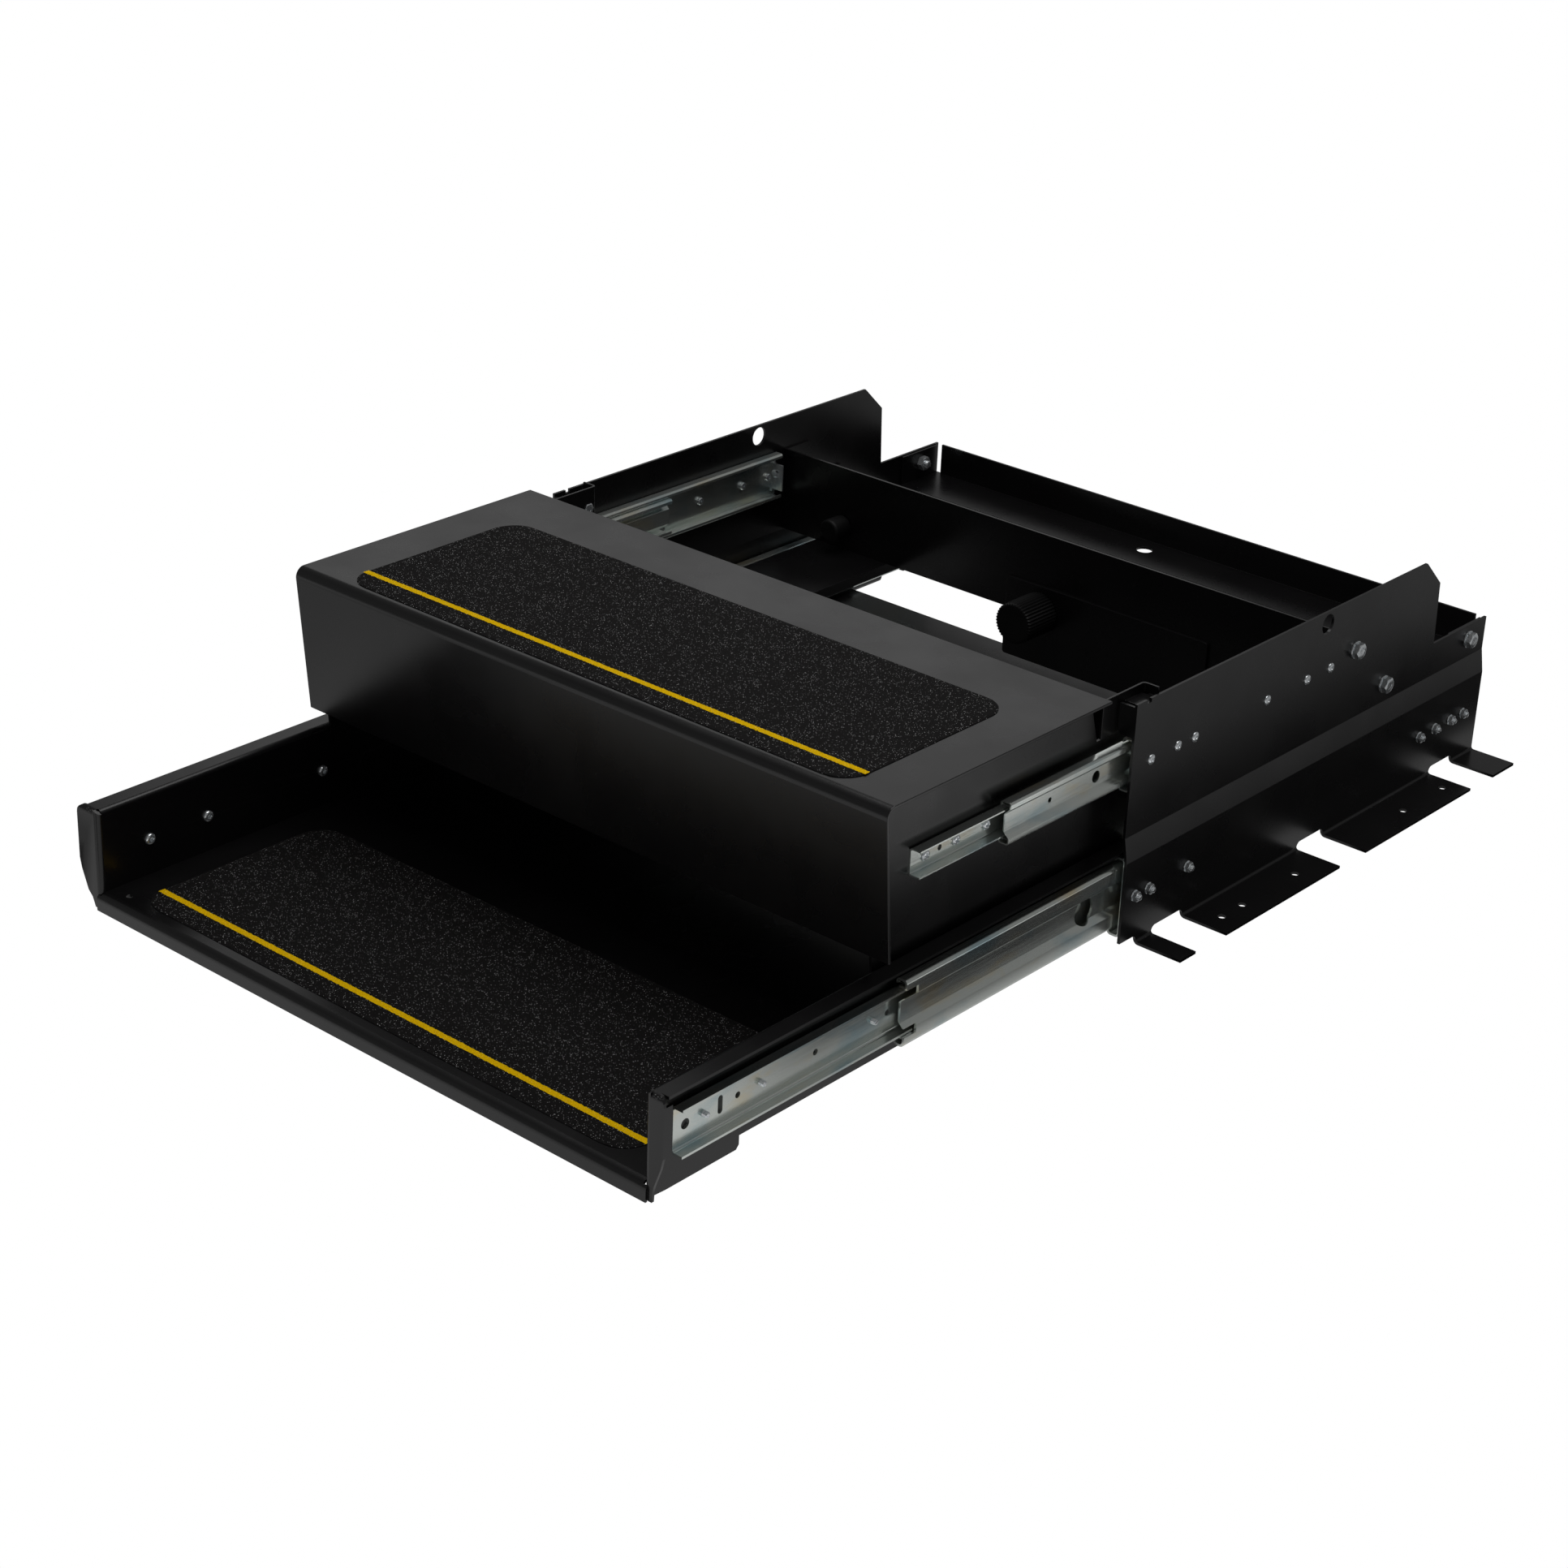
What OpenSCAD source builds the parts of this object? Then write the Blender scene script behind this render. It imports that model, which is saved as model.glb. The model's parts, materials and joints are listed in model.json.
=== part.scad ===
// Caravan pull out step: a bolted-down sheet steel housing with two treads on ball bearing slides.
// The upper step is a box section tread, the lower step is a shallow tray that runs underneath it.
// Millimetres. X = 0 is the middle of the step, +Y points back under the vehicle, +Z is up.
// Z = 0 is the underside of the feet. Y = 0 is the middle of the outer foot holes.
// Depths called u are measured back from the front edge of the housing's side plates.
// The drawn position is fully pulled out. Closing moves both steps along +Y.

/* [Housing plates] */
// Sheet thickness of the housing
sheet = 2.5; // [2:0.1:3.2]
// Inside radius of the sheet bends
bend_r = 2.5; // [1.5:0.5:4]
// Depth of the side plates, front to back
plate_len = 559; // [556:1:575]
// Depth at which the high part of a side plate ends
plate_peak = 436; // [415:1:445]
// Height of the low rear part of a side plate
plate_rear_top = 134.5; // [130:0.5:150]
// Height where the side plate starts to step outwards
joggle_top = 102.6; // [100:0.2:104]
// Height where the outward step is complete
joggle_low = 81; // [80.5:0.5:88]
// Half width over the feet
foot_out = 371; // [364:1:380]
// Height of the gaps between the feet
relief_h = 8.6; // [7.6:0.2:10]
// Diameter of the round hand hole near the top of each plate
hand_hole_d = 18; // [12:1:24]

/* [Foot holes] */
// Diameter of the foot bolt holes
foot_hole_d = 7; // [5.5:0.5:9]
// Distance of the foot holes from the middle
foot_hole_x = 351.5; // [348:0.5:356]
// Depth of the front outer hole
foot_hole_front = 111; // [104:1:118]
// Depth of the rear outer hole
foot_hole_rear = 464.5; // [450:0.5:470]
// Depth of the second hole
foot_hole_second = 141; // [130:1:150]
// Depth of the fourth hole
foot_hole_fourth = 397; // [380:1:410]
// Depth of the middle hole
foot_hole_mid = 221.5; // [200:0.5:240]

/* [Slides] */
// Thickness of a closed slide, both pairs
slide_t = 19.1; // [18.6:0.1:20.5]
// Distance of the slide fronts behind the front edge of the housing
slide_front = 2; // [1:0.5:4]
// Height of the upper slides
upper_h = 45.7; // [44:0.1:47]
// Height of the middle line of the upper slides
upper_z = 164.4; // [162:0.2:166]
// Length of the upper outer members
upper_len = 299; // [295:1:302]
// Length of the upper middle and inner members
upper_run = 290; // [284:1:292]
// Sheet gauge of the upper slides
upper_g = 1.2; // [1:0.05:1.4]
// Height of the lower slides
lower_h = 71; // [70:0.1:72]
// Height of the middle line of the lower slides
lower_z = 48; // [47.6:0.1:50]
// Length of the lower members
lower_len = 550; // [540:1:553]
// Sheet gauge of the lower slides
lower_g = 2; // [1.8:0.05:2.2]
// Ball diameter of the outer rows in the upper slides
upper_ball_o = 3; // [2.8:0.05:3.1]
// Ball diameter of the inner rows in the upper slides
upper_ball_i = 4.76; // [4.5:0.02:4.8]
// Ball diameter of the outer rows in the lower slides
lower_ball_o = 3.97; // [3.8:0.01:4]
// Ball diameter of the inner rows in the lower slides
lower_ball_i = 6.35; // [6:0.05:6.5]
// Running gap of a ball to each member
ball_gap = 0.32; // [0.3:0.01:0.36]

/* [Travel] */
// How far the upper inner members stand out of the housing
upper_open = 251; // [240:1:253]
// How far the upper middle members stand out
upper_mid_open = 149; // [140:1:150]
// How far the lower inner members stand out
lower_open = 508; // [490:1:510]
// How far the lower middle members stand out
lower_mid_open = 267; // [255:1:270]

/* [Upper step] */
// Half width of the upper step over its side panels
panel_half = 301.1; // [300.6:0.1:301.4]
// Width of the tread and riser
tread_w = 640; // [630:1:642]
// Depth of the tread
tread_d = 273; // [266:1:276]
// Depth of the back plate that hangs from the rear edge of the tread
tread_back = 118; // [40:1:122]
// Height of the tread above the feet
tread_top = 231.6; // [230.6:0.2:236]
// Sheet thickness of the steps
step_sheet = 2.5; // [2:0.1:2.8]
// How far the tread front stands in front of the inner members
tread_lead = 53; // [51:0.5:56]
// Outside radius of the tread's front bend
tread_r = 9; // [8:0.5:11]
// Height of the riser's bottom edge
riser_bottom = 100.5; // [99:0.5:104]
// Backward lean of the riser in degrees
riser_lean = 5.6; // [4.6:0.2:6.4]
// How far the panels reach behind the tread
panel_tail = 70; // [66:1:72]

/* [Lower step] */
// Half width of the tray over its side walls
tray_half = 304.8; // [304.4:0.1:305.4]
// Half width over the outward flanges of the tray
tray_flange = 320; // [318.6:0.1:320.4]
// Distance of the right front flange's outer edge from the middle
front_right = 320; // [318:0.5:322]
// Distance of the left front flange's outer edge from the middle
front_left = 328; // [320:0.5:331]
// Outside radius of the fold between a tray wall and its front flange
fold_r = 5; // [4:0.5:6]
// How far the lip stands in front of the inner members
lip_lead = 26; // [24:0.5:28]
// Height of the tray floor
tray_floor_z = 16; // [15:0.2:18]
// Outside radius of the lip's bend
lip_r = 7; // [5:0.5:9]
// Length of the deep front part of the tray walls
skirt_len = 97; // [85:1:110]

/* [Grip pads] */
// Width of a grip pad
pad_w = 544; // [520:1:560]
// Depth of a grip pad
pad_d = 196; // [180:1:204]
// Corner radius of a grip pad
pad_r = 25; // [18:1:30]
// Thickness of a grip pad
pad_t = 1; // [0.8:0.1:1.4]
// Upper pad's distance behind the front of the tread
upper_pad_back = 11.4; // [10.4:0.2:16]
// Lower pad's distance behind the front of the lip
lower_pad_back = 15.5; // [13:0.5:20]
// Width of the yellow stripe
stripe_w = 6; // [4:0.5:8]
// Stripe's distance behind the pad's front edge, to its middle
stripe_back = 23.5; // [18:0.5:30]

/* [Frame pieces] */
// Distance from the upper slides' rear end to the stop beam
beam_behind = 14; // [13:0.5:18]
// Height of the stop beam's bottom edge
beam_z0 = 105; // [104.6:0.2:106]
// Height of the stop beam's top edge
beam_z1 = 186.6; // [182:0.2:188]
// Depth of the beam's end tabs
beam_tab = 85; // [80:1:88]
// Height of the rear pan's floor
pan_floor = 103.6; // [103.2:0.2:105]
// Depth of the rear pan's floor, front to back
pan_d = 61; // [58:1:88]
// Half width of the rear pan's back wall
pan_wall_half = 313; // [308:0.5:316]
// Inner face of the front posts, from the middle
post_half = 302.6; // [302.2:0.1:303.4]
// How far the front posts reach back from the plate's front edge
post_d = 36; // [34:0.5:40]
// How far the front posts stand in front of the side plates
post_lead = 20; // [16:0.5:23]
// How far the drop plate reaches to the left of the middle
drop_left = 40; // [30:1:60]
// How far the drop plate reaches to the right of the middle
drop_right = 184; // [170:2:185]
// Height of the drop plate's bottom edge
drop_z0 = 60; // [50:1:70]
// Diameter of the middle rubber buffer
mid_buffer_d = 40; // [36:1:42]
// Height of the middle rubber buffer
mid_buffer_z = 112; // [111:0.5:114]
// Diameter of the side rubber buffers
side_buffer_d = 22.5; // [20:0.5:28]
// Distance of the side buffers from the middle
side_buffer_x = 242; // [238:1:256]
// Height of the side buffers
side_buffer_z = 128.5; // [124:0.5:140]
// Gap left between the closed upper step and its buffers
stop_gap = 0.4; // [0.3:0.1:1]

/* [Fasteners] */
// Clearance of a bolt in its hole, on the radius
hole_gap = 0.05; // [0.03:0.01:0.1]
// Diameter of the slide screws and bolts
m5 = 5; // [4.8:0.1:5.2]
// Diameter of the post screws and buffer screws
m6 = 6; // [5.6:0.1:6.2]
// Diameter of the frame bolts
m8 = 8; // [7.8:0.1:8.4]

/* [Hidden] */
$fn = 40;
e = 0.01;
foot_mid = (foot_hole_front + foot_hole_rear) / 2;
plate_in = panel_half + slide_t;
plate_out = plate_in + sheet;
low_in = tray_half + slide_t;
low_out = low_in + sheet;
plate_top = tread_top - step_sheet - 9.7;
post_z0 = upper_z + upper_h / 2 + 2.75;
tray_top = lower_z + lower_h / 2 + 3 + step_sheet;
panel_z0 = tray_top - 7;
wall_z0 = tray_floor_z - step_sheet - 2.5;
upper_travel = upper_open + slide_front;
lower_travel = lower_open + slide_front;
tread_u0 = -upper_open - tread_lead;
tread_u1 = tread_u0 + tread_d;
panel_u1 = tread_u1 + panel_tail;
lip_u0 = -lower_open - lip_lead;
tray_u1 = -lower_open + lower_len - 12;
beam_u = slide_front + upper_len + beam_behind;
rail_u1 = panel_u1 - 22;
pan_front = plate_len - 1 - pan_d;
mid_face = rail_u1 + upper_travel + stop_gap;
side_face = panel_u1 + upper_travel + stop_gap;
shelf_x0 = 186;
shelf_x1 = 276;
pad_z_up = tread_top;
pad_z_low = tray_floor_z;
// hole and screw places along the housing
upper_screw_u = [26, 63, 87, 192, 252.5, 289];
lower_bolt_u = [15, 34, 89, 454, 481, 508.5, 530];
// slide member half heights and depths, measured from the plate side
uo_h = upper_h / 2;
um_h = uo_h - upper_g - upper_ball_o - 2 * ball_gap;
ui_h = um_h - upper_g - upper_ball_i - 2 * ball_gap;
uo_d = 10.2;
um_0 = 4;
um_1 = 14.2;
um_sink = 5;
um_z1 = 12.6;
um_z2 = 7.6;
ui_0 = 8.6;
lo_h = lower_h / 2;
lm_h = lo_h - lower_g - lower_ball_o - 2 * ball_gap;
li_h = lm_h - lower_g - lower_ball_i - 2 * ball_gap;
lo_d = 12.5;
lm_0 = 5;
lm_1 = 15.6;
lm_sink = 5;
lm_z1 = 14.2;
lm_z2 = 9.2;
li_0 = 7.9;
// screw places along the inner members, from their front ends
upper_in_screw = [16.5, 53, 90, 262];
lower_in_screw = [32, 92, 217, 380, 520];
// the left member has its holes a little further forward
function lower_screws(s) = [for (d = lower_in_screw) s < 0 ? d - 5 : d];

function Y(u) = u - foot_mid;

// right-hand pieces are drawn at +X, and s = -1 mirrors them
module side(s) {
  if (s > 0) {
    children();
  } else {
    mirror([1, 0, 0]) children();
  }
}

// a flat shape in X and Z, drawn from depth u0 back to u1
module along_y(u0, u1) {
  translate([0, Y(u1), 0]) rotate([90, 0, 0]) linear_extrude(u1 - u0) children();
}

// a flat shape in depth and Z, drawn from x0 to x1
module along_x(x0, x1) {
  translate([x0, Y(0), 0]) rotate([90, 0, 90]) linear_extrude(x1 - x0) children();
}

// a flat shape in X and depth, drawn from z0 up to z1
module along_z(z0, z1) {
  translate([0, Y(0), z0]) linear_extrude(z1 - z0) children();
}

module rod_x(x0, x1, u, z, r) {
  translate([x0, Y(u), z]) rotate([0, 90, 0]) cylinder(h = x1 - x0, r = r);
}

module rod_y(u0, u1, x, z, r) {
  translate([x, Y(u1), z]) rotate([90, 0, 0]) cylinder(h = u1 - u0, r = r);
}

module hex_x(x0, x1, u, z, af) {
  translate([x0, Y(u), z]) rotate([0, 90, 0]) cylinder(h = x1 - x0, r = af / sqrt(3), $fn = 6);
}

// rounded rectangle
module rr(x0, y0, x1, y1, r) {
  translate([x0 + r, y0]) square([x1 - x0 - 2 * r, y1 - y0]);
  translate([x0, y0 + r]) square([x1 - x0, y1 - y0 - 2 * r]);
  translate([x0 + r, y0 + r]) circle(r);
  translate([x1 - r, y0 + r]) circle(r);
  translate([x0 + r, y1 - r]) circle(r);
  translate([x1 - r, y1 - r]) circle(r);
}

// lipped channel with its web at x0 and its mouth at x1, for the outer members
module channel(x0, x1, h, g, lip, r) {
  difference() {
    rr(x0, -h, x1, h, r);
    rr(x0 + g, -h + g, x1 - g, h - g, r - g + 0.2);
    translate([(x0 + x1) / 2, -h + lip]) square([(x1 - x0) / 2 + 1, 2 * (h - lip)]);
  }
}

// channel whose web is pressed inwards by sink, sloping between heights z1 and z2, for the middle members
module sunk_channel(x0, x1, h, g, lip, r, sink, z1, z2) {
  k = 0.4 * g;
  xs = x0 + sink;
  difference() {
    rr(x0, -h, x1, h, r);
    rr(x0 + g, -h + g, x1 - g, h - g, r - g + 0.2);
    translate([x1 - g - 1, -h + lip]) square([g + 2, 2 * (h - lip)]);
    translate([x0 - 1, -z1]) square([g + 2, 2 * z1]);
  }
  polygon([[x0, z1 + 0.5], [x0, z1], [xs, z2], [xs, -z2], [x0, -z1], [x0, -z1 - 0.5],
    [x0 + g, -z1 - 0.5], [x0 + g, -z1 + k], [xs + g, -z2 + k],
    [xs + g, z2 - k], [x0 + g, z1 - k], [x0 + g, z1 + 0.5]]);
}

// plain channel with its web at x1 and open at x0, for the inner members
module plain_channel(x0, x1, h, g, r) {
  difference() {
    intersection() {
      rr(x0 - 2 * r, -h, x1, h, r);
      translate([x0, -h]) square([x1 - x0, 2 * h]);
    }
    rr(x0 - 3 * r, -h + g, x1 - g, h - g, r - g + 0.2);
  }
}

// outline of a side plate seen from the side
module plate_outline() {
  difference() {
    polygon([[0, 0], [0, plate_top], [plate_peak, plate_top], [plate_peak + 27, plate_top - 25.4],
      [plate_peak + 30, plate_rear_top], [plate_len, plate_rear_top], [plate_len, 0]]);
    relief(-20, 23);
    relief(45, 89);
    relief(262, 303.5);
    relief(481.5, 521.5);
  }
}

module relief(u0, u1) {
  r = 5;
  translate([u0, -1]) square([u1 - u0, relief_h + 1 - r]);
  translate([u0 + r, -1]) square([u1 - u0 - 2 * r, relief_h + 1]);
  translate([u0 + r, relief_h - r]) circle(r);
  translate([u1 - r, relief_h - r]) circle(r);
}

// front view of a side plate: upper part, outward step, lower part and foot
module plate_section() {
  r = bend_r + sheet;
  difference() {
    union() {
      polygon([[plate_in, plate_top], [plate_out, plate_top], [plate_out, joggle_top],
        [low_out, joggle_low], [low_out, sheet], [foot_out, sheet], [foot_out, 0], [low_in, 0],
        [low_in, joggle_low], [plate_in, joggle_top]]);
      translate([low_out - e, sheet - e]) square(bend_r + e);
    }
    translate([low_out + bend_r, sheet + bend_r]) circle(bend_r);
    difference() {
      translate([low_in - 1, -1]) square(r + 1);
      translate([low_in + r, r]) circle(r);
    }
  }
}

module side_plate(s) {
  color([0.03, 0.03, 0.035]) side(s) difference() {
    union() {
      intersection() {
        along_y(0, plate_len) plate_section();
        along_x(plate_in - 1, foot_out + 1) plate_outline();
      }
      // inward flange at the top of the front edge
      along_y(0, sheet) difference() {
        translate([plate_in - 14, post_z0]) square([14 + e, plate_top - 2.8 - post_z0]);
        difference() {
          translate([plate_in - 15, post_z0 - 1]) square(6);
          translate([plate_in - 9, post_z0 + 5]) circle(5);
        }
      }
    }
    rod_x(plate_in - 1, plate_out + 1, 277, 208, hand_hole_d / 2);
    // slot in the top edge over the post
    along_x(plate_in - 1, plate_out + 1) translate([14.2, plate_top - 3]) square([5.2, 4]);
    for (u = upper_screw_u) {
      rod_x(plate_in - 1, plate_out + 1, u, upper_z, m5 / 2 + hole_gap);
    }
    for (u = lower_bolt_u) {
      rod_x(low_in - 1, low_out + 1, u, lower_z, m5 / 2 + hole_gap);
    }
    for (p = [[beam_u + 13, 169.7], [beam_u + 68.7, 120.8], [plate_len - 30, 120.8]]) {
      rod_x(plate_in - 1, plate_out + 1, p[0], p[1], m8 / 2 + hole_gap);
    }
    for (u = [foot_hole_front, foot_hole_second, foot_hole_mid, foot_hole_fourth, foot_hole_rear]) {
      translate([foot_hole_x, Y(u), -1]) cylinder(h = sheet + 2, r = foot_hole_d / 2);
    }
  }
}

module side_plate_right() {
  side_plate(1);
}

module side_plate_left() {
  side_plate(-1);
}

// folded post that stiffens the front of a side plate above the slide: long inner wall, web and back wall
post_u1 = post_d;
post_top = plate_top + 3.6;
post_screw_z = (post_z0 + plate_top) / 2 - 1.5;

module front_post(s) {
  color([0.03, 0.03, 0.035]) side(s) difference() {
    union() {
      along_z(post_z0, post_top) difference() {
        rr(post_half, -post_lead - 20, plate_in + 20, post_u1, 4);
        rr(post_half + 2, -post_lead - 30, plate_in + 30, post_u1 - 2, 2);
        translate([plate_in - 2.2, -90]) square([60, 200]);
        translate([post_half - 9, -90]) square([60, 90 - post_lead]);
      }
      along_z(post_top - 10, post_top - 8) union() {
        translate([post_half + 1, 9]) square([plate_in - post_half - 1, post_u1 - 13]);
        translate([post_half + 7, 9]) square([plate_in - post_half - 12, post_u1 - 10]);
      }
    }
    rod_x(post_half - 1, post_half + 4, post_u1 - 10, post_screw_z, m6 / 2 + hole_gap);
  }
}

module front_post_right() {
  front_post(1);
}

module front_post_left() {
  front_post(-1);
}

module post_screws() {
  color([0.75, 0.77, 0.8]) for (s = [-1, 1]) {
    side(s) union() {
      hex_x(post_half - 1.1, post_half, post_u1 - 10, post_screw_z, 10);
      rod_x(post_half - e, post_half + 8, post_u1 - 10, post_screw_z, m6 / 2);
    }
  }
}

module post_nuts() {
  color([0.75, 0.77, 0.8]) for (s = [-1, 1]) {
    side(s) difference() {
      hex_x(post_half + 2, post_half + 7, post_u1 - 10, post_screw_z, 10);
      rod_x(post_half, post_half + 9, post_u1 - 10, post_screw_z, m6 / 2 + hole_gap);
    }
  }
}

// cross beam behind the upper step: front wall, bottom flange and two end tabs
module stop_beam() {
  color([0.03, 0.03, 0.035]) difference() {
    union() {
      along_x(-plate_in, plate_in) translate([beam_u, beam_z0]) square([sheet, beam_z1 - beam_z0]);
      along_x(-plate_in + 6, plate_in - 6) translate([beam_u, beam_z0]) square([25, sheet]);
      for (s = [-1, 1]) {
        side(s) along_x(plate_in - sheet, plate_in) difference() {
          translate([beam_u, beam_z0]) square([beam_tab, beam_z1 - beam_z0]);
          translate([beam_u + 36, beam_z0 + 46]) square([60, 60]);
        }
      }
    }
    for (s = [-1, 1]) {
      side(s) rod_x(plate_in - 9, plate_in + 1, beam_u + 13, 169.7, m8 / 2 + hole_gap);
      side(s) rod_x(plate_in - 9, plate_in + 1, beam_u + 68.7, 120.8, m8 / 2 + hole_gap);
      rod_y(beam_u - 1, beam_u + 9, s * side_buffer_x, side_buffer_z, m6 / 2 + hole_gap);
    }
    rod_y(beam_u - 1, beam_u + 9, 0, 125, m6 / 2 + hole_gap);
  }
}

// rear pan: floor, back wall and two end tabs
module rear_pan() {
  pan_u1 = plate_len - 1;
  color([0.03, 0.03, 0.035]) difference() {
    union() {
      along_z(pan_floor - sheet, pan_floor) translate([-plate_in, pan_front])
        square([2 * plate_in, pan_u1 - pan_front]);
      along_y(pan_u1 - sheet, pan_u1) translate([-pan_wall_half, pan_floor - sheet])
        square([2 * pan_wall_half, plate_rear_top - pan_floor + sheet]);
      for (s = [-1, 1]) {
        side(s) along_x(plate_in - sheet, plate_in) translate([plate_len - 60, pan_floor - sheet])
          square([56, plate_rear_top - pan_floor + sheet - 1]);
      }
    }
    for (s = [-1, 1]) {
      side(s) rod_x(plate_in - 9, plate_in + 1, plate_len - 30, 120.8, m8 / 2 + hole_gap);
    }
    translate([-38, Y(plate_len - 26.2), pan_floor - 9]) cylinder(h = 20, r = 8);
  }
}

// strap with turned up ends that ties the two side plates together under the tray
module bottom_tie() {
  z0 = bend_r + sheet + 0.3;
  color([0.03, 0.03, 0.035]) union() {
    along_z(z0, z0 + 2.5) translate([-low_in, 368]) square([2 * low_in, 62]);
    for (s = [-1, 1]) {
      side(s) along_z(z0, z0 + 6.2) translate([low_in - 2.5, 368]) square([2.5, 62]);
    }
  }
}

// shelf under the stop beam with a turned down inner edge
module guard_shelf(s) {
  color([0.04, 0.04, 0.045]) side(s) union() {
    along_z(beam_z0 - 2.5, beam_z0) translate([shelf_x0, beam_u - 110]) square([shelf_x1 - shelf_x0, 140]);
    along_z(beam_z0 - 10, beam_z0 - 2.5 + e) translate([shelf_x0, beam_u - 110]) square([2.5, 140]);
  }
}

module guard_shelf_right() {
  guard_shelf(1);
}

module guard_shelf_left() {
  guard_shelf(-1);
}

module buffer_plate() {
  color([0.03, 0.03, 0.035]) difference() {
    along_y(beam_u - 3, beam_u) rr(-drop_left, drop_z0, drop_right, 137, 3);
    rod_y(beam_u - 9, beam_u + 9, 0, 125, m6 / 2 + hole_gap);
  }
}

module middle_buffer() {
  color([0.06, 0.06, 0.06]) difference() {
    rod_y(mid_face, beam_u - 3, 0, mid_buffer_z, mid_buffer_d / 2);
    rod_y(mid_face + 8, beam_u, 0, 125, 6);
  }
}

module side_buffers() {
  color([0.25, 0.25, 0.26]) for (s = [-1, 1]) {
    side(s) difference() {
      rod_y(side_face, beam_u, side_buffer_x, side_buffer_z, side_buffer_d / 2);
      rod_y(side_face + 8, beam_u + 9, side_buffer_x, side_buffer_z, m6 / 2 + hole_gap);
    }
  }
}

module buffer_screws() {
  color([0.75, 0.77, 0.8]) {
    for (s = [-1, 1]) {
      side(s) union() {
        rod_y(side_face + 8.3, beam_u + 9, side_buffer_x, side_buffer_z, m6 / 2);
      }
      side(s) difference() {
        translate([side_buffer_x, Y(beam_u + sheet + 5), side_buffer_z]) rotate([90, 0, 0])
          cylinder(h = 5, r = 10 / sqrt(3), $fn = 6);
        rod_y(beam_u, beam_u + 9, side_buffer_x, side_buffer_z, m6 / 2 + hole_gap);
      }
    }
    union() {
      rod_y(beam_u - 3 - 4, beam_u - 3, 0, 125, 5);
      rod_y(beam_u - 3 - e, beam_u + 9, 0, 125, m6 / 2);
    }
    difference() {
      translate([0, Y(beam_u + sheet + 5), 125]) rotate([90, 0, 0])
        cylinder(h = 5, r = 10 / sqrt(3), $fn = 6);
      rod_y(beam_u, beam_u + 9, 0, 125, m6 / 2 + hole_gap);
    }
  }
}

// hexagon bolts that hold the stop beam and the rear pan
frame_bolt_at = [[beam_u + 13, 169.7], [beam_u + 68.7, 120.8], [plate_len - 30, 120.8]];

module frame_bolts() {
  color([0.75, 0.77, 0.8]) for (s = [-1, 1]) {
    for (p = frame_bolt_at) {
      side(s) union() {
        hex_x(plate_out + 1.6, plate_out + 6.9, p[0], p[1], 13);
        rod_x(plate_in - sheet - 10, plate_out + 1.6 + e, p[0], p[1], m8 / 2);
      }
    }
  }
}

module frame_washers() {
  color([0.75, 0.77, 0.8]) for (s = [-1, 1]) {
    for (p = frame_bolt_at) {
      side(s) difference() {
        rod_x(plate_out, plate_out + 1.6, p[0], p[1], 8);
        rod_x(plate_out - 1, plate_out + 3, p[0], p[1], m8 / 2 + hole_gap);
      }
    }
  }
}

module frame_nuts() {
  color([0.75, 0.77, 0.8]) for (s = [-1, 1]) {
    for (p = frame_bolt_at) {
      side(s) difference() {
        hex_x(plate_in - sheet - 6.5, plate_in - sheet, p[0], p[1], 13);
        rod_x(plate_in - sheet - 8, plate_in, p[0], p[1], m8 / 2 + hole_gap);
      }
    }
  }
}

// fixed outer member of an upper slide
module upper_outer_slide(s) {
  color([0.72, 0.75, 0.74]) side(s) difference() {
    along_y(slide_front, slide_front + upper_len) translate([plate_in, upper_z]) mirror([1, 0])
      channel(0, uo_d, uo_h, upper_g, 4, 2.4);
    for (u = upper_screw_u) {
      rod_x(plate_in - 3, plate_in + 1, u, upper_z, m5 / 2 + hole_gap);
    }
  }
}

module upper_outer_slide_right() {
  upper_outer_slide(1);
}

module upper_outer_slide_left() {
  upper_outer_slide(-1);
}

module upper_slide_screws() {
  color([0.75, 0.77, 0.8]) for (s = [-1, 1]) {
    for (u = upper_screw_u) {
      side(s) union() {
        rod_x(plate_in - upper_g - 1.9, plate_in - upper_g, u, upper_z, 4.3);
        rod_x(plate_in - upper_g - e, plate_out + e, u, upper_z, m5 / 2);
        difference() {
          rod_x(plate_out, plate_out + 1.2, u, upper_z, 4.5);
          hex_x(plate_out + 0.5, plate_out + 2, u, upper_z, 2.8);
        }
      }
    }
  }
}

// bright stop at the rear end of each upper outer member
module upper_end_stops() {
  ue = slide_front + upper_len - 5.5;
  xe = plate_in - upper_g;
  color([0.72, 0.75, 0.74]) for (s = [-1, 1]) {
    side(s) difference() {
      union() {
        along_z(upper_z - 13, upper_z + 13) translate([xe - 14, ue]) square([14, 1.5]);
        along_z(upper_z - 16, upper_z + 13) translate([xe - 1.5, ue]) square([1.5, 5]);
      }
      rod_y(ue - 1.5, ue + 2.5, xe - 7, upper_z + 5, 1.5);
    }
  }
}

module lower_outer_slide(s) {
  color([0.72, 0.75, 0.74]) side(s) difference() {
    along_y(slide_front, slide_front + lower_len) translate([low_in, lower_z]) mirror([1, 0])
      channel(0, lo_d, lo_h, lower_g, 4.4, 4);
    for (u = lower_bolt_u) {
      rod_x(low_in - 4, low_in + 1, u, lower_z, m5 / 2 + hole_gap);
    }
  }
}

module lower_outer_slide_right() {
  lower_outer_slide(1);
}

module lower_outer_slide_left() {
  lower_outer_slide(-1);
}

module lower_slide_bolts() {
  color([0.75, 0.77, 0.8]) for (s = [-1, 1]) {
    for (u = lower_bolt_u) {
      side(s) union() {
        rod_x(low_in - lower_g - 2.2, low_in - lower_g, u, lower_z, 5.2);
        rod_x(low_in - lower_g - e, low_out + 6.8, u, lower_z, m5 / 2);
      }
    }
  }
}

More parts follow.
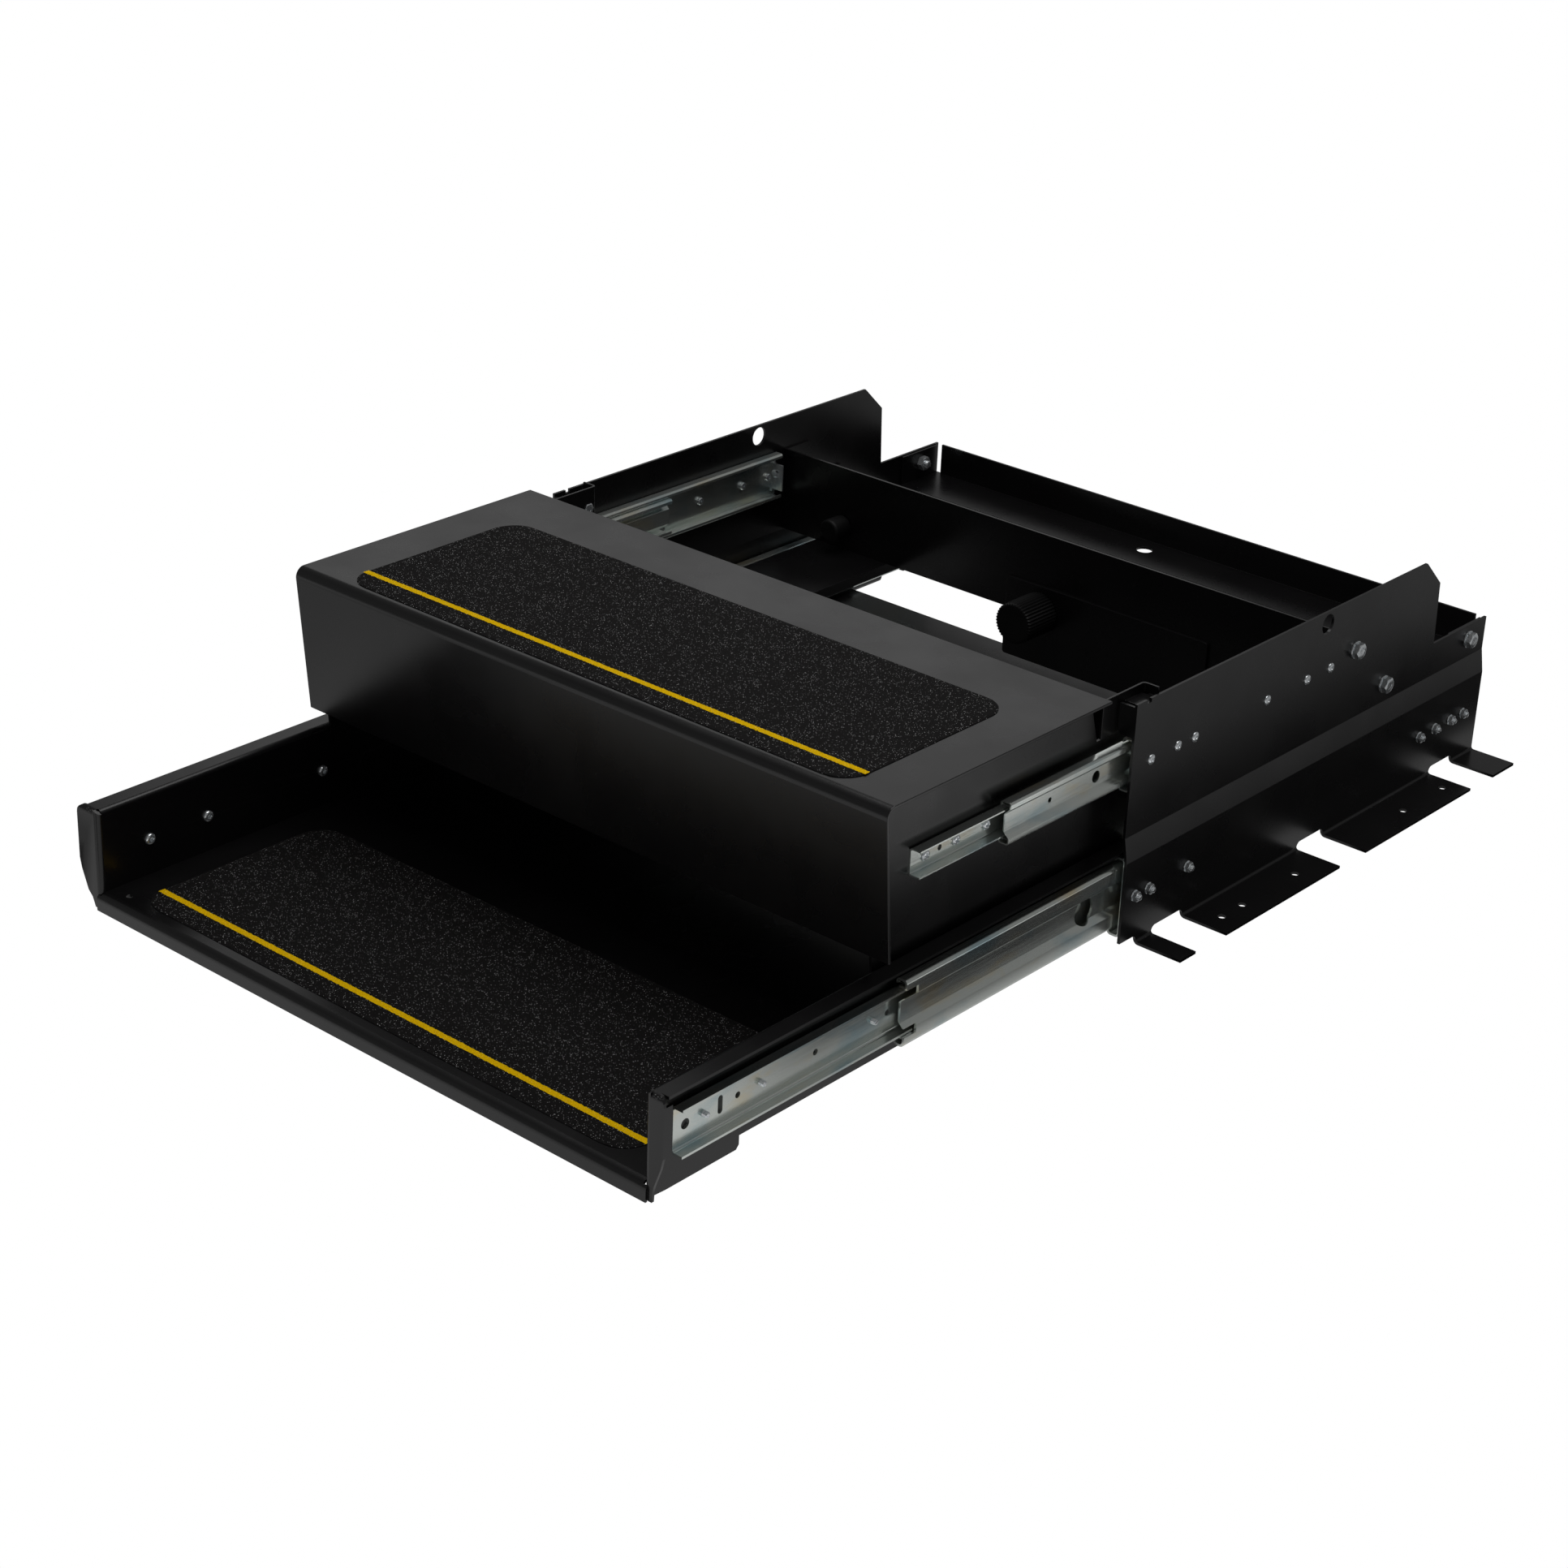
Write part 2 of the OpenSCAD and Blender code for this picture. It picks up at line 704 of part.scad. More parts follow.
module lower_slide_nuts() {
  color([0.75, 0.77, 0.8]) for (s = [-1, 1]) {
    for (u = lower_bolt_u) {
      side(s) difference() {
        hex_x(low_out, low_out + 4.4, u, lower_z, 8);
        rod_x(low_out - 1, low_out + 9, u, lower_z, m5 / 2 + hole_gap);
      }
    }
  }
}

// tread and riser folded from one sheet, with a back plate folded down from the rear edge
module upper_tread() {
  c = cos(riser_lean);
  n = sin(riser_lean);
  r1 = tread_r;
  r0 = tread_r - step_sheet;
  len = (tread_top - r1 - r1 * n - riser_bottom) / c;
  color([0.3, 0.3, 0.3]) union() {
    along_x(-tread_w / 2, tread_w / 2) translate([tread_u0 + r1, tread_top - r1]) union() {
      translate([0, r0]) square([tread_d - r1, step_sheet]);
      intersection() {
        difference() {
          circle(r1);
          circle(r0);
        }
        polygon([[0, 0], [0, 2 * r1], [-2 * r1, 2 * r1], [-2 * r1 * c, -2 * r1 * n]]);
      }
      polygon([[-r1 * c, -r1 * n], [-r0 * c, -r0 * n], [-r0 * c + len * n, -r0 * n - len * c],
        [-r1 * c + len * n, -r1 * n - len * c]]);
    }
    along_x(-panel_half + step_sheet + 1, panel_half - step_sheet - 1)
      translate([tread_u1 - step_sheet, tread_top - tread_back])
        square([step_sheet, tread_back - step_sheet + e]);
  }
}

// outline of a side panel seen from the side
module panel_outline() {
  t = tan(riser_lean);
  zc = tread_top - tread_r;
  u_r = tread_u0 + tread_r - tread_r / cos(riser_lean) + step_sheet / cos(riser_lean) + 0.02;
  polygon([[u_r + (zc - panel_z0) * t, panel_z0], [u_r, zc], [u_r + 1, zc + 3],
    [tread_u0 + tread_r + 2, tread_top - step_sheet],
    [tread_u1 - 2, tread_top - step_sheet], [tread_u1 + 11, upper_z + uo_h], [panel_u1, upper_z + uo_h],
    [panel_u1, panel_z0]]);
}

module upper_panel(s) {
  color([0.03, 0.03, 0.035]) side(s) difference() {
    union() {
      along_x(panel_half - step_sheet, panel_half) panel_outline();
      // inward flange at the back, which meets the side buffer
      along_y(panel_u1 - step_sheet, panel_u1) translate([side_buffer_x - 18, beam_z0 + 4])
        square([panel_half - side_buffer_x + 18 - e, upper_z + uo_h - beam_z0 - 4]);
    }
    for (d = upper_in_screw) {
      rod_x(panel_half - 4, panel_half + 1, -upper_open + d, upper_z, m5 / 2 + hole_gap);
    }
  }
}

module upper_panel_right() {
  upper_panel(1);
}

module upper_panel_left() {
  upper_panel(-1);
}

// folded rail between the panels
module upper_rear_rail() {
  x = panel_half - step_sheet;
  color([0.03, 0.03, 0.035]) along_x(-x, x) difference() {
    translate([rail_u1 - 15, beam_z0 + 4]) square([15, 42]);
    translate([rail_u1 - 16, beam_z0 + 4 + step_sheet]) square([16 - step_sheet, 42 - 2 * step_sheet]);
  }
}

module pad(u0, z) {
  difference() {
    along_z(z, z + pad_t) rr(-pad_w / 2, u0, pad_w / 2, u0 + pad_d, pad_r);
    along_z(z + pad_t / 2, z + pad_t + 1) translate([-pad_w, u0 + stripe_back - stripe_w / 2])
      square([2 * pad_w, stripe_w]);
  }
}

module stripe(u0, z) {
  intersection() {
    along_z(z + pad_t / 2, z + pad_t) rr(-pad_w / 2, u0, pad_w / 2, u0 + pad_d, pad_r);
    along_z(z, z + 9) translate([-pad_w, u0 + stripe_back - stripe_w / 2]) square([2 * pad_w, stripe_w]);
  }
}

module upper_grip_pad() {
  color([0.13, 0.13, 0.13]) pad(tread_u0 + upper_pad_back, pad_z_up);
}

module upper_stripe() {
  color([0.85, 0.7, 0.07]) stripe(tread_u0 + upper_pad_back, pad_z_up);
}

// moving inner member of an upper slide
module upper_inner_slide(s) {
  color([0.72, 0.75, 0.74]) side(s) difference() {
    along_y(-upper_open, -upper_open + upper_run) translate([plate_in, upper_z]) mirror([1, 0])
      plain_channel(ui_0, slide_t, ui_h, upper_g, 2.4);
    for (d = upper_in_screw) {
      rod_x(panel_half - 1, panel_half + 3, -upper_open + d, upper_z, m5 / 2 + hole_gap);
    }
    rod_x(panel_half - 1, panel_half + 3, -upper_open + 34.5, upper_z, 2.4);
  }
}

module upper_inner_slide_right() {
  upper_inner_slide(1);
}

module upper_inner_slide_left() {
  upper_inner_slide(-1);
}

module upper_inner_screws() {
  color([0.75, 0.77, 0.8]) for (s = [-1, 1]) {
    for (d = upper_in_screw) {
      side(s) union() {
        rod_x(panel_half + upper_g, panel_half + upper_g + 2.4, -upper_open + d, upper_z, 4.6);
        rod_x(panel_half - step_sheet - 3, panel_half + upper_g + e, -upper_open + d, upper_z, m5 / 2);
      }
    }
  }
}

// middle member of an upper slide
module upper_mid_slide(s) {
  color([0.72, 0.75, 0.74]) side(s) difference() {
    along_y(-upper_mid_open, -upper_mid_open + upper_run) translate([plate_in, upper_z]) mirror([1, 0])
      sunk_channel(um_0, um_1, um_h, upper_g, 4.4, 2.4, um_sink, um_z1, um_z2);
    rod_x(plate_in - 14, plate_in, -upper_mid_open + 57, upper_z, 2.2);
    rod_x(plate_in - 14, plate_in, -upper_mid_open + 117, upper_z, 5);
  }
}

// ball cages: strips with a round hole for each ball, in the two inner and the two outer rows
module cage(face, z, o_h, m_h, i_h, g_o, g_m, x0, xb, x1, t, ui, uo, len, n, pitch, r_i, r_o, xo) {
  zi = (m_h - g_m + i_h) / 2;
  for (m = [-1, 1]) {
    difference() {
      along_y(ui, ui + len) translate([face - x1, z + m * zi - t / 2]) square([x1 - x0, t]);
      for (k = [0 : n - 1]) {
        translate([face - xb, Y(ui + pitch / 2 + k * pitch), z + m * zi])
          cylinder(h = 2 * r_i, r = r_i + 0.1, center = true);
      }
    }
    difference() {
      along_y(uo, uo + len) translate([face - xo - r_o - 0.4, z + m * (m_h + t / 2) - t / 2])
        square([2 * r_o + 0.8, t]);
      for (k = [0 : n - 1]) {
        translate([face - xo, Y(uo + pitch / 2 + k * pitch), z + m * m_h])
          cylinder(h = 4, r = r_o + 0.1, center = true);
      }
    }
  }
}

module balls(face, z, o_h, m_h, i_h, g_o, g_m, xb, ui, uo, n, pitch, r_i, r_o, xo) {
  zi = (m_h - g_m + i_h) / 2;
  zo = (o_h - g_o + m_h) / 2;
  for (m = [-1, 1]) {
    for (k = [0 : n - 1]) {
      translate([face - xb, Y(ui + pitch / 2 + k * pitch), z + m * zi]) sphere(r_i, $fn = 20);
      translate([face - xo, Y(uo + pitch / 2 + k * pitch), z + m * zo]) sphere(r_o, $fn = 16);
    }
  }
}

module upper_cage(s) {
  color([0.5, 0.52, 0.5]) side(s)
    cage(plate_in, upper_z, uo_h, um_h, ui_h, upper_g, upper_g, um_0 + upper_g, 9.4, 12.6, 0.8,
    -upper_mid_open + 2, 30, 108, 8, 13.5, upper_ball_i / 2, upper_ball_o / 2, 6.6);
}

module upper_balls(s) {
  color([0.85, 0.86, 0.88]) side(s) balls(plate_in, upper_z, uo_h, um_h, ui_h, upper_g, upper_g, 9.4,
    -upper_mid_open + 2, 30, 8, 13.5, upper_ball_i / 2, upper_ball_o / 2, 6.6);
}

module upper_mid_slide_right() {
  upper_mid_slide(1);
}

module upper_cage_right() {
  upper_cage(1);
}

module upper_balls_right() {
  upper_balls(1);
}

module upper_mid_slide_left() {
  upper_mid_slide(-1);
}

module upper_cage_left() {
  upper_cage(-1);
}

module upper_balls_left() {
  upper_balls(-1);
}

// tray floor with the rounded front lip and a small upstand at the back
module tray_floor() {
  x = tray_half - step_sheet;
  color([0.2, 0.2, 0.2]) difference() {
    union() {
      along_x(-x - 4, x + 4) intersection() {
        union() {
          translate([lip_u0, 0]) square([step_sheet, tray_floor_z - lip_r]);
          translate([lip_u0 + lip_r, tray_floor_z - lip_r]) difference() {
            circle(lip_r);
            circle(lip_r - step_sheet);
          }
        }
        translate([lip_u0, 0]) square([1.9, tray_floor_z]);
      }
      along_x(-x, x) union() {
        translate([lip_u0 + lip_r, tray_floor_z - step_sheet]) square([tray_u1 - lip_u0 - lip_r, step_sheet]);
        translate([lip_u0, 0]) square([step_sheet, tray_floor_z - lip_r]);
        translate([tray_u1 - step_sheet, tray_floor_z - step_sheet]) square([step_sheet, 12 + step_sheet]);
        translate([lip_u0 + lip_r, tray_floor_z - lip_r]) intersection() {
          difference() {
            circle(lip_r);
            circle(lip_r - step_sheet);
          }
          translate([-2 * lip_r, 0]) square(2 * lip_r);
        }
      }
    }
    translate([-283, Y(lip_u0 + 15.5), -1]) cylinder(h = 30, r = 3);
  }
}

// tray side wall with top flange, front flange and deep front part
module tray_wall(s) {
  x0 = tray_half - step_sheet;
  r = 2 + step_sheet;
  u1 = lip_u0 + 2;
  ub = u1 + fold_r;
  xf = s > 0 ? front_right : front_left;
  color([0.03, 0.03, 0.035]) side(s) difference() {
    union() {
      along_y(ub, tray_u1) union() {
        translate([x0, wall_z0]) square([step_sheet, tray_top - wall_z0 - r]);
        translate([x0 + r, tray_top - step_sheet]) square([tray_flange - x0 - r, step_sheet]);
        translate([x0 + r, tray_top - r]) intersection() {
          difference() {
            circle(r);
            circle(r - step_sheet);
          }
          translate([-2 * r, -e]) square([2 * r + e, 2 * r]);
        }
      }
      along_x(x0, tray_half) polygon([[ub - e, 1], [ub - e, wall_z0 + 1], [u1 + skirt_len, wall_z0 + 1],
        [u1 + skirt_len, 3.4], [u1 + skirt_len - 3, 0], [u1 + 20, 0]]);
      // front flange, folded round from the wall
      intersection() {
        union() {
          along_z(1, tray_top - r + e) translate([x0 + fold_r, u1])
            square([xf - x0 - fold_r, step_sheet]);
          along_z(1, tray_top) translate([x0 + fold_r, ub]) intersection() {
            difference() {
              circle(fold_r);
              circle(fold_r - step_sheet);
            }
            translate([-2 * fold_r, -2 * fold_r]) square([2 * fold_r + e, 2 * fold_r + e]);
          }
          along_x(x0 + fold_r - 0.5, xf) union() {
            translate([u1 + r, tray_top - r]) intersection() {
              difference() {
                circle(r);
                circle(r - step_sheet);
              }
              translate([-2 * r, 0]) square(2 * r);
            }
            translate([u1 + r - e, tray_top - step_sheet]) square([fold_r - r + 2 * e, step_sheet]);
          }
        }
        along_y(u1 - 1, ub + e) polygon([[x0 - 1, 0], [x0 - 1, tray_top - r], [x0 + r, tray_top],
          [xf - 7, tray_top], [xf - 4.3, tray_top - 0.6], [xf - 2.1, tray_top - 2.1],
          [xf - 0.6, tray_top - 4.5], [xf, tray_top - 7.5], [xf, tray_top * 0.45], [xf - 2, tray_top * 0.35],
          [max(xf - 9, x0 + 9.5), 14], [max(xf - 14, x0 + 8.5), 9], [x0 + 8, 0]]);
      }
      along_y(u1, u1 + 9) translate([xf - step_sheet, tray_top * 0.45])
        square([step_sheet, tray_top * 0.55 - 8]);
    }
    for (d = lower_screws(s)) {
      rod_x(x0 - 1, tray_half + 1, -lower_open + d, lower_z, m5 / 2 + hole_gap);
    }
  }
}

module tray_wall_right() {
  tray_wall(1);
}

module tray_wall_left() {
  tray_wall(-1);
}

module lower_grip_pad() {
  color([0.13, 0.13, 0.13]) pad(lip_u0 + lower_pad_back, pad_z_low);
}

module lower_stripe() {
  color([0.85, 0.7, 0.07]) stripe(lip_u0 + lower_pad_back, pad_z_low);
}

module lower_inner_slide(s) {
  color([0.72, 0.75, 0.74]) side(s) difference() {
    along_y(-lower_open, -lower_open + lower_len) translate([low_in, lower_z]) mirror([1, 0])
      plain_channel(li_0, slide_t, li_h, lower_g, 4);
    for (d = lower_screws(s)) {
      rod_x(tray_half - 1, tray_half + 4, -lower_open + d, lower_z, m5 / 2 + hole_gap);
    }
    rod_x(tray_half - 1, tray_half + 4, -lower_open + 12.6, lower_z, 4.2);
    rod_x(tray_half - 1, tray_half + 4, -lower_open + 67.5, lower_z, 2.6);
    rod_x(tray_half - 1, tray_half + 4, -lower_open + 152, lower_z, 2.6);
    rod_x(tray_half - 1, tray_half + 4, -lower_open + 234, lower_z, 2.6);
    for (m = [-5, 5]) {
      rod_x(tray_half - 1, tray_half + 4, -lower_open + 49, lower_z + m, 2.5);
    }
    translate([tray_half - 1, Y(-lower_open + 46.5), lower_z - 5]) cube([5, 5, 10]);
  }
}

module lower_inner_slide_right() {
  lower_inner_slide(1);
}

module lower_inner_slide_left() {
  lower_inner_slide(-1);
}

module lower_inner_screws() {
  color([0.75, 0.77, 0.8]) for (s = [-1, 1]) {
    for (d = lower_screws(s)) {
      side(s) union() {
        rod_x(tray_half - step_sheet - 3, tray_half - step_sheet, -lower_open + d, lower_z, 4.8);
        rod_x(tray_half - step_sheet - e, tray_half + lower_g + 4.4, -lower_open + d, lower_z, m5 / 2);
      }
    }
  }
}

module lower_mid_slide(s) {
  u0 = -lower_mid_open;
  color([0.72, 0.75, 0.74]) side(s) union() {
    difference() {
      along_y(u0, u0 + lower_len) translate([low_in, lower_z]) mirror([1, 0])
        sunk_channel(lm_0, lm_1, lm_h, lower_g, 4.8, 4, lm_sink, lm_z1, lm_z2);
      rod_x(low_in - 18, low_in, u0 + 230, lower_z, 12);
      for (z = [-20.4, 13]) {
        along_x(low_in - 18, low_in) translate([u0 - 1, lower_z + z]) square([15, 7.4]);
      }
    }
    // guide lips at the front end, above and below the notches
    for (m = [-1, 1]) {
      along_x(low_in - 13, low_in - lm_0) translate([u0, lower_z + m * 21.2 - 0.75]) square([6, 1.5]);
    }
  }
}

module lower_cage(s) {
  color([0.5, 0.52, 0.5]) side(s)
    cage(low_in, lower_z, lo_h, lm_h, li_h, lower_g, lower_g, lm_0 + lower_g, 10.4, 14.2, 0.5,
    -lower_mid_open + 3, 60, 180, 10, 18, lower_ball_i / 2, lower_ball_o / 2, 7.8);
}

module lower_balls(s) {
  color([0.85, 0.86, 0.88]) side(s) balls(low_in, lower_z, lo_h, lm_h, li_h, lower_g, lower_g, 10.4,
    -lower_mid_open + 3, 60, 10, 18, lower_ball_i / 2, lower_ball_o / 2, 7.8);
}

module lower_mid_slide_right() {
  lower_mid_slide(1);
}

module lower_cage_right() {
  lower_cage(1);
}

module lower_balls_right() {
  lower_balls(1);
}

module lower_mid_slide_left() {
  lower_mid_slide(-1);
}

module lower_cage_left() {
  lower_cage(-1);
}

module lower_balls_left() {
  lower_balls(-1);
}

side_plate_right();
side_plate_left();
front_post_right();
front_post_left();
post_screws();
post_nuts();
stop_beam();
rear_pan();
bottom_tie();
guard_shelf_right();
guard_shelf_left();
buffer_plate();
middle_buffer();
side_buffers();
buffer_screws();
frame_bolts();
frame_washers();
frame_nuts();
upper_outer_slide_right();
upper_outer_slide_left();
upper_slide_screws();
upper_end_stops();
lower_outer_slide_right();
lower_outer_slide_left();
lower_slide_bolts();
lower_slide_nuts();
upper_tread();
upper_panel_right();
upper_panel_left();
upper_rear_rail();
upper_grip_pad();
upper_stripe();
upper_inner_slide_right();
upper_inner_slide_left();
upper_inner_screws();
upper_mid_slide_right();
upper_cage_right();
upper_balls_right();
upper_mid_slide_left();
upper_cage_left();
upper_balls_left();
tray_floor();
tray_wall_right();
tray_wall_left();
lower_grip_pad();
lower_stripe();
lower_inner_slide_right();
lower_inner_slide_left();
lower_inner_screws();
lower_mid_slide_right();
lower_cage_right();
lower_balls_right();
lower_mid_slide_left();
lower_cage_left();
lower_balls_left();
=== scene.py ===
"""Looks of the caravan pull out step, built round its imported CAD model.

Metres, X = 0 in the middle, +Y back under the vehicle, +Z up, Z = 0 the underside of the feet.
Pieces are worked out in millimetres and put into their meshes in metres.
"""

import json
import math

import bpy
import numpy as np
from mathutils import Matrix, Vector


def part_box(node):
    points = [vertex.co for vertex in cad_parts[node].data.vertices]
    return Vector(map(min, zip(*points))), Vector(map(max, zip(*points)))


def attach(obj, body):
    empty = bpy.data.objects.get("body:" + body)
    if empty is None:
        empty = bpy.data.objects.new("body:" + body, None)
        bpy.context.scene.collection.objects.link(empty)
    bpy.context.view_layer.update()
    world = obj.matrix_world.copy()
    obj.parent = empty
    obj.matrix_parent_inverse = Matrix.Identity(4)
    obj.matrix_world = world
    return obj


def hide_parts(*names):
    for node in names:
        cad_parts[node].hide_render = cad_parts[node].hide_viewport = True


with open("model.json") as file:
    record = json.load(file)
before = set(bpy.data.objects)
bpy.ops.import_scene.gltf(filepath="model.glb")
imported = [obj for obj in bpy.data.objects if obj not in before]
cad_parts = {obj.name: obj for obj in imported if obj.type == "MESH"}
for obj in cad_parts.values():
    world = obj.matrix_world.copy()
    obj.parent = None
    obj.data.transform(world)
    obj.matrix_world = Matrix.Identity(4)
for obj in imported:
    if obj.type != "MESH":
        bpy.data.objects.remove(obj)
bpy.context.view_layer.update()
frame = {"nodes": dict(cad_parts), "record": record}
nodes = frame["nodes"]
MM = 0.001
FULL_TURN = 2 * math.pi


# Colour and nodes

def srgb(text):
    """An sRGB hex value such as 8f8e8a as linear light, opaque."""
    c = np.array([int(text[i:i + 2], 16) for i in (0, 2, 4)]) / 255
    lin = np.where(c <= 0.04045, c / 12.92, ((c + 0.055) / 1.055) ** 2.4)
    return (*lin.tolist(), 1.0)


def grey(level):
    """A linear grey, opaque."""
    return (level, level, level, 1.0)


def add(tree, kind, values=None, links=None, stops=(), **settings):
    """Adds a shader node, sets its properties and input values, and links inputs to given sockets.
    stops are the positions and colours of a colour ramp."""
    n = tree.nodes.new(kind)
    for key, value in settings.items():
        setattr(n, key, value)
    for key, value in (values or {}).items():
        n.inputs[key].default_value = value
    for key, socket in (links or {}).items():
        tree.links.new(socket, n.inputs[key])
    if stops:
        elements = n.color_ramp.elements
        while len(elements) < len(stops):
            elements.new(0.5)
        for element, (position, colour) in zip(elements, stops):
            element.position = position
            element.color = colour
    return n


def new_material(name):
    """An empty node material and its tree."""
    m = bpy.data.materials.new(name)
    m.use_nodes = True
    m.node_tree.nodes.clear()
    return m, m.node_tree


def finish_material(tree, shader):
    """Links the last shader to the surface."""
    add(tree, "ShaderNodeOutputMaterial", links={"Surface": shader.outputs[0]})


def coords(tree, scale=(1, 1, 1)):
    """Object coordinates in millimetres, stretched by scale: a texture's scale is then per millimetre."""
    t = add(tree, "ShaderNodeTexCoord")
    stretch = tuple(s / MM for s in scale)
    return add(tree, "ShaderNodeMapping", {"Scale": stretch}, {"Vector": t.outputs["Object"]}).outputs[0]


# Materials

def powder_coat(name, base="0b0a0b", rough=0.27):
    """Black polyester powder coat, sprayed and baked: semi-gloss, with a shallow orange peel about 2 mm
    across and faint cloudy differences in gloss about 80 mm across."""
    m, t = new_material(name)
    p = coords(t)
    peel = add(t, "ShaderNodeTexNoise", {"Scale": 0.55, "Detail": 2.0, "Roughness": 0.5}, {"Vector": p})
    cloud = add(t, "ShaderNodeTexNoise", {"Scale": 0.012, "Detail": 3.0, "Roughness": 0.6}, {"Vector": p})
    gloss = add(t, "ShaderNodeMapRange",
                {"From Min": 0.3, "From Max": 0.7, "To Min": rough - 0.03, "To Max": rough + 0.05},
                {"Value": cloud.outputs["Fac"]})
    bump = add(t, "ShaderNodeBump", {"Strength": 0.10, "Distance": 0.00006},
               {"Height": peel.outputs["Fac"]})
    s = add(t, "ShaderNodeBsdfPrincipled", {"Base Color": srgb(base), "IOR": 1.5},
            {"Roughness": gloss.outputs[0], "Normal": bump.outputs[0]})
    finish_material(t, s)
    return m


def rolled_zinc(name, tint="e4e9e4", warm="ebdfc0", cool="bdd3d8", rough=0.2):
    """Cold rolled steel strip with bright zinc plating: long faint rolling lines, and a passivate film that
    drifts from straw yellow to pale blue over some tens of millimetres, whose tints also stand in as painted
    reflection of warm and cool surroundings. Real rolling lines are too fine to show, so these are drawn
    coarser, about 1 mm apart."""
    m, t = new_material(name)
    along = coords(t, (1.0, 0.02, 1.0))
    p = coords(t, (1.0, 0.35, 1.0))
    lines = add(t, "ShaderNodeTexNoise", {"Scale": 0.9, "Detail": 3.0, "Roughness": 0.6},
                {"Vector": along})
    drift = add(t, "ShaderNodeTexNoise", {"Scale": 0.035, "Detail": 4.0, "Roughness": 0.55},
                {"Vector": p})
    # partly painted reflection: the film's warm and cool tints also stand in for reflected colour
    film = add(t, "ShaderNodeValToRGB", links={"Fac": drift.outputs["Fac"]},
               stops=[(0.30, srgb(cool)), (0.48, srgb(tint)), (0.56, srgb(tint)), (0.72, srgb(warm))])
    r = add(t, "ShaderNodeMapRange",
            {"From Min": 0.3, "From Max": 0.7, "To Min": rough - 0.04, "To Max": rough + 0.06},
            {"Value": lines.outputs["Fac"]})
    bump = add(t, "ShaderNodeBump", {"Strength": 0.06, "Distance": 0.00005},
               {"Height": lines.outputs["Fac"]})
    s = add(t, "ShaderNodeBsdfPrincipled", {"Metallic": 0.9},
            {"Base Color": film.outputs["Color"], "Roughness": r.outputs[0], "Normal": bump.outputs[0]})
    finish_material(t, s)
    return m


def plated_fastener(name, tint="f8fafb", hollow_shade="cdd5da", rough=0.14):
    """Zinc plated cold headed steel: bright blue-white with a fine grain, whose low places are darkened by
    painted shade. The real grain is too fine to show, so it is drawn coarser, about 1 mm across."""
    m, t = new_material(name)
    p = coords(t)
    grain = add(t, "ShaderNodeTexNoise", {"Scale": 0.9, "Detail": 3.0}, {"Vector": p})
    # painted shade: the grain's low places, where its bump is lowest, get the darker colour
    shade = add(t, "ShaderNodeValToRGB", links={"Fac": grain.outputs["Fac"]},
                stops=[(0.35, srgb(hollow_shade)), (0.6, srgb(tint))])
    r = add(t, "ShaderNodeMapRange",
            {"From Min": 0.3, "From Max": 0.7, "To Min": rough - 0.04, "To Max": rough + 0.12},
            {"Value": grain.outputs["Fac"]})
    bump = add(t, "ShaderNodeBump", {"Strength": 0.1, "Distance": 0.00005},
               {"Height": grain.outputs["Fac"]})
    s = add(t, "ShaderNodeBsdfPrincipled", {"Metallic": 0.85},
            {"Base Color": shade.outputs["Color"], "Roughness": r.outputs[0], "Normal": bump.outputs[0]})
    finish_material(t, s)
    return m


def grit(name, ground, speck, share, gloss=0.15):
    """Mineral coated anti-slip film: grains on a coloured ground, a share of them dull, and the rest
    glinting, each as bright as its own chance allows. Real grit is finer; the grains are drawn coarser,
    about 0.6 mm across, to show."""
    m, t = new_material(name)
    p = coords(t)
    cell = add(t, "ShaderNodeTexVoronoi", {"Scale": 1.6, "Randomness": 1.0}, {"Vector": p}, feature="F1")
    fine = add(t, "ShaderNodeTexNoise", {"Scale": 1.1, "Detail": 3.0, "Roughness": 0.7}, {"Vector": p})
    pick = add(t, "ShaderNodeSeparateColor", links={"Color": cell.outputs["Color"]})
    chance = add(t, "ShaderNodeValToRGB", links={"Fac": pick.outputs[0]},
                 stops=[(share, grey(0.0)), (1.0, grey(1.0))])
    round_grain = add(t, "ShaderNodeValToRGB", links={"Fac": cell.outputs["Distance"]},
                      stops=[(0.25, grey(1.0)), (0.5, grey(0.0))])
    glint = add(t, "ShaderNodeMath", links={0: chance.outputs["Color"], 1: round_grain.outputs["Color"]},
                operation="MULTIPLY")
    body = add(t, "ShaderNodeValToRGB", links={"Fac": fine.outputs["Fac"]},
               stops=[(0.38, srgb(ground[0])), (0.68, srgb(ground[1]))])
    mixed = add(t, "ShaderNodeMix", {7: srgb(speck)}, {0: glint.outputs[0], 6: body.outputs["Color"]},
                data_type="RGBA")
    high = add(t, "ShaderNodeMath", {1: 0.6}, {0: cell.outputs["Distance"]}, operation="MULTIPLY")
    bump = add(t, "ShaderNodeBump", {"Strength": 0.5, "Distance": 0.0003}, {"Height": high.outputs[0]},
               invert=True)
    s = add(t, "ShaderNodeBsdfPrincipled", {"Roughness": 0.85, "IOR": 1.5, "Specular IOR Level": gloss},
            {"Base Color": mixed.outputs[2], "Normal": bump.outputs[0]})
    finish_material(t, s)
    return m


def moulded_rubber(name):
    """Moulded black rubber: dull, with a mould texture about 0.7 mm across and a faint dusty bloom."""
    m, t = new_material(name)
    p = coords(t)
    fine = add(t, "ShaderNodeTexNoise", {"Scale": 1.5, "Detail": 4.0}, {"Vector": p})
    bloom = add(t, "ShaderNodeValToRGB", links={"Fac": fine.outputs["Fac"]},
                stops=[(0.3, srgb("040404")), (0.75, srgb("0c0c0d"))])
    bump = add(t, "ShaderNodeBump", {"Strength": 0.25, "Distance": 0.0002},
               {"Height": fine.outputs["Fac"]})
    s = add(t, "ShaderNodeBsdfPrincipled", {"Roughness": 0.55, "IOR": 1.52, "Specular IOR Level": 0.2},
            {"Base Color": bloom.outputs["Color"], "Normal": bump.outputs[0]})
    finish_material(t, s)
    return m


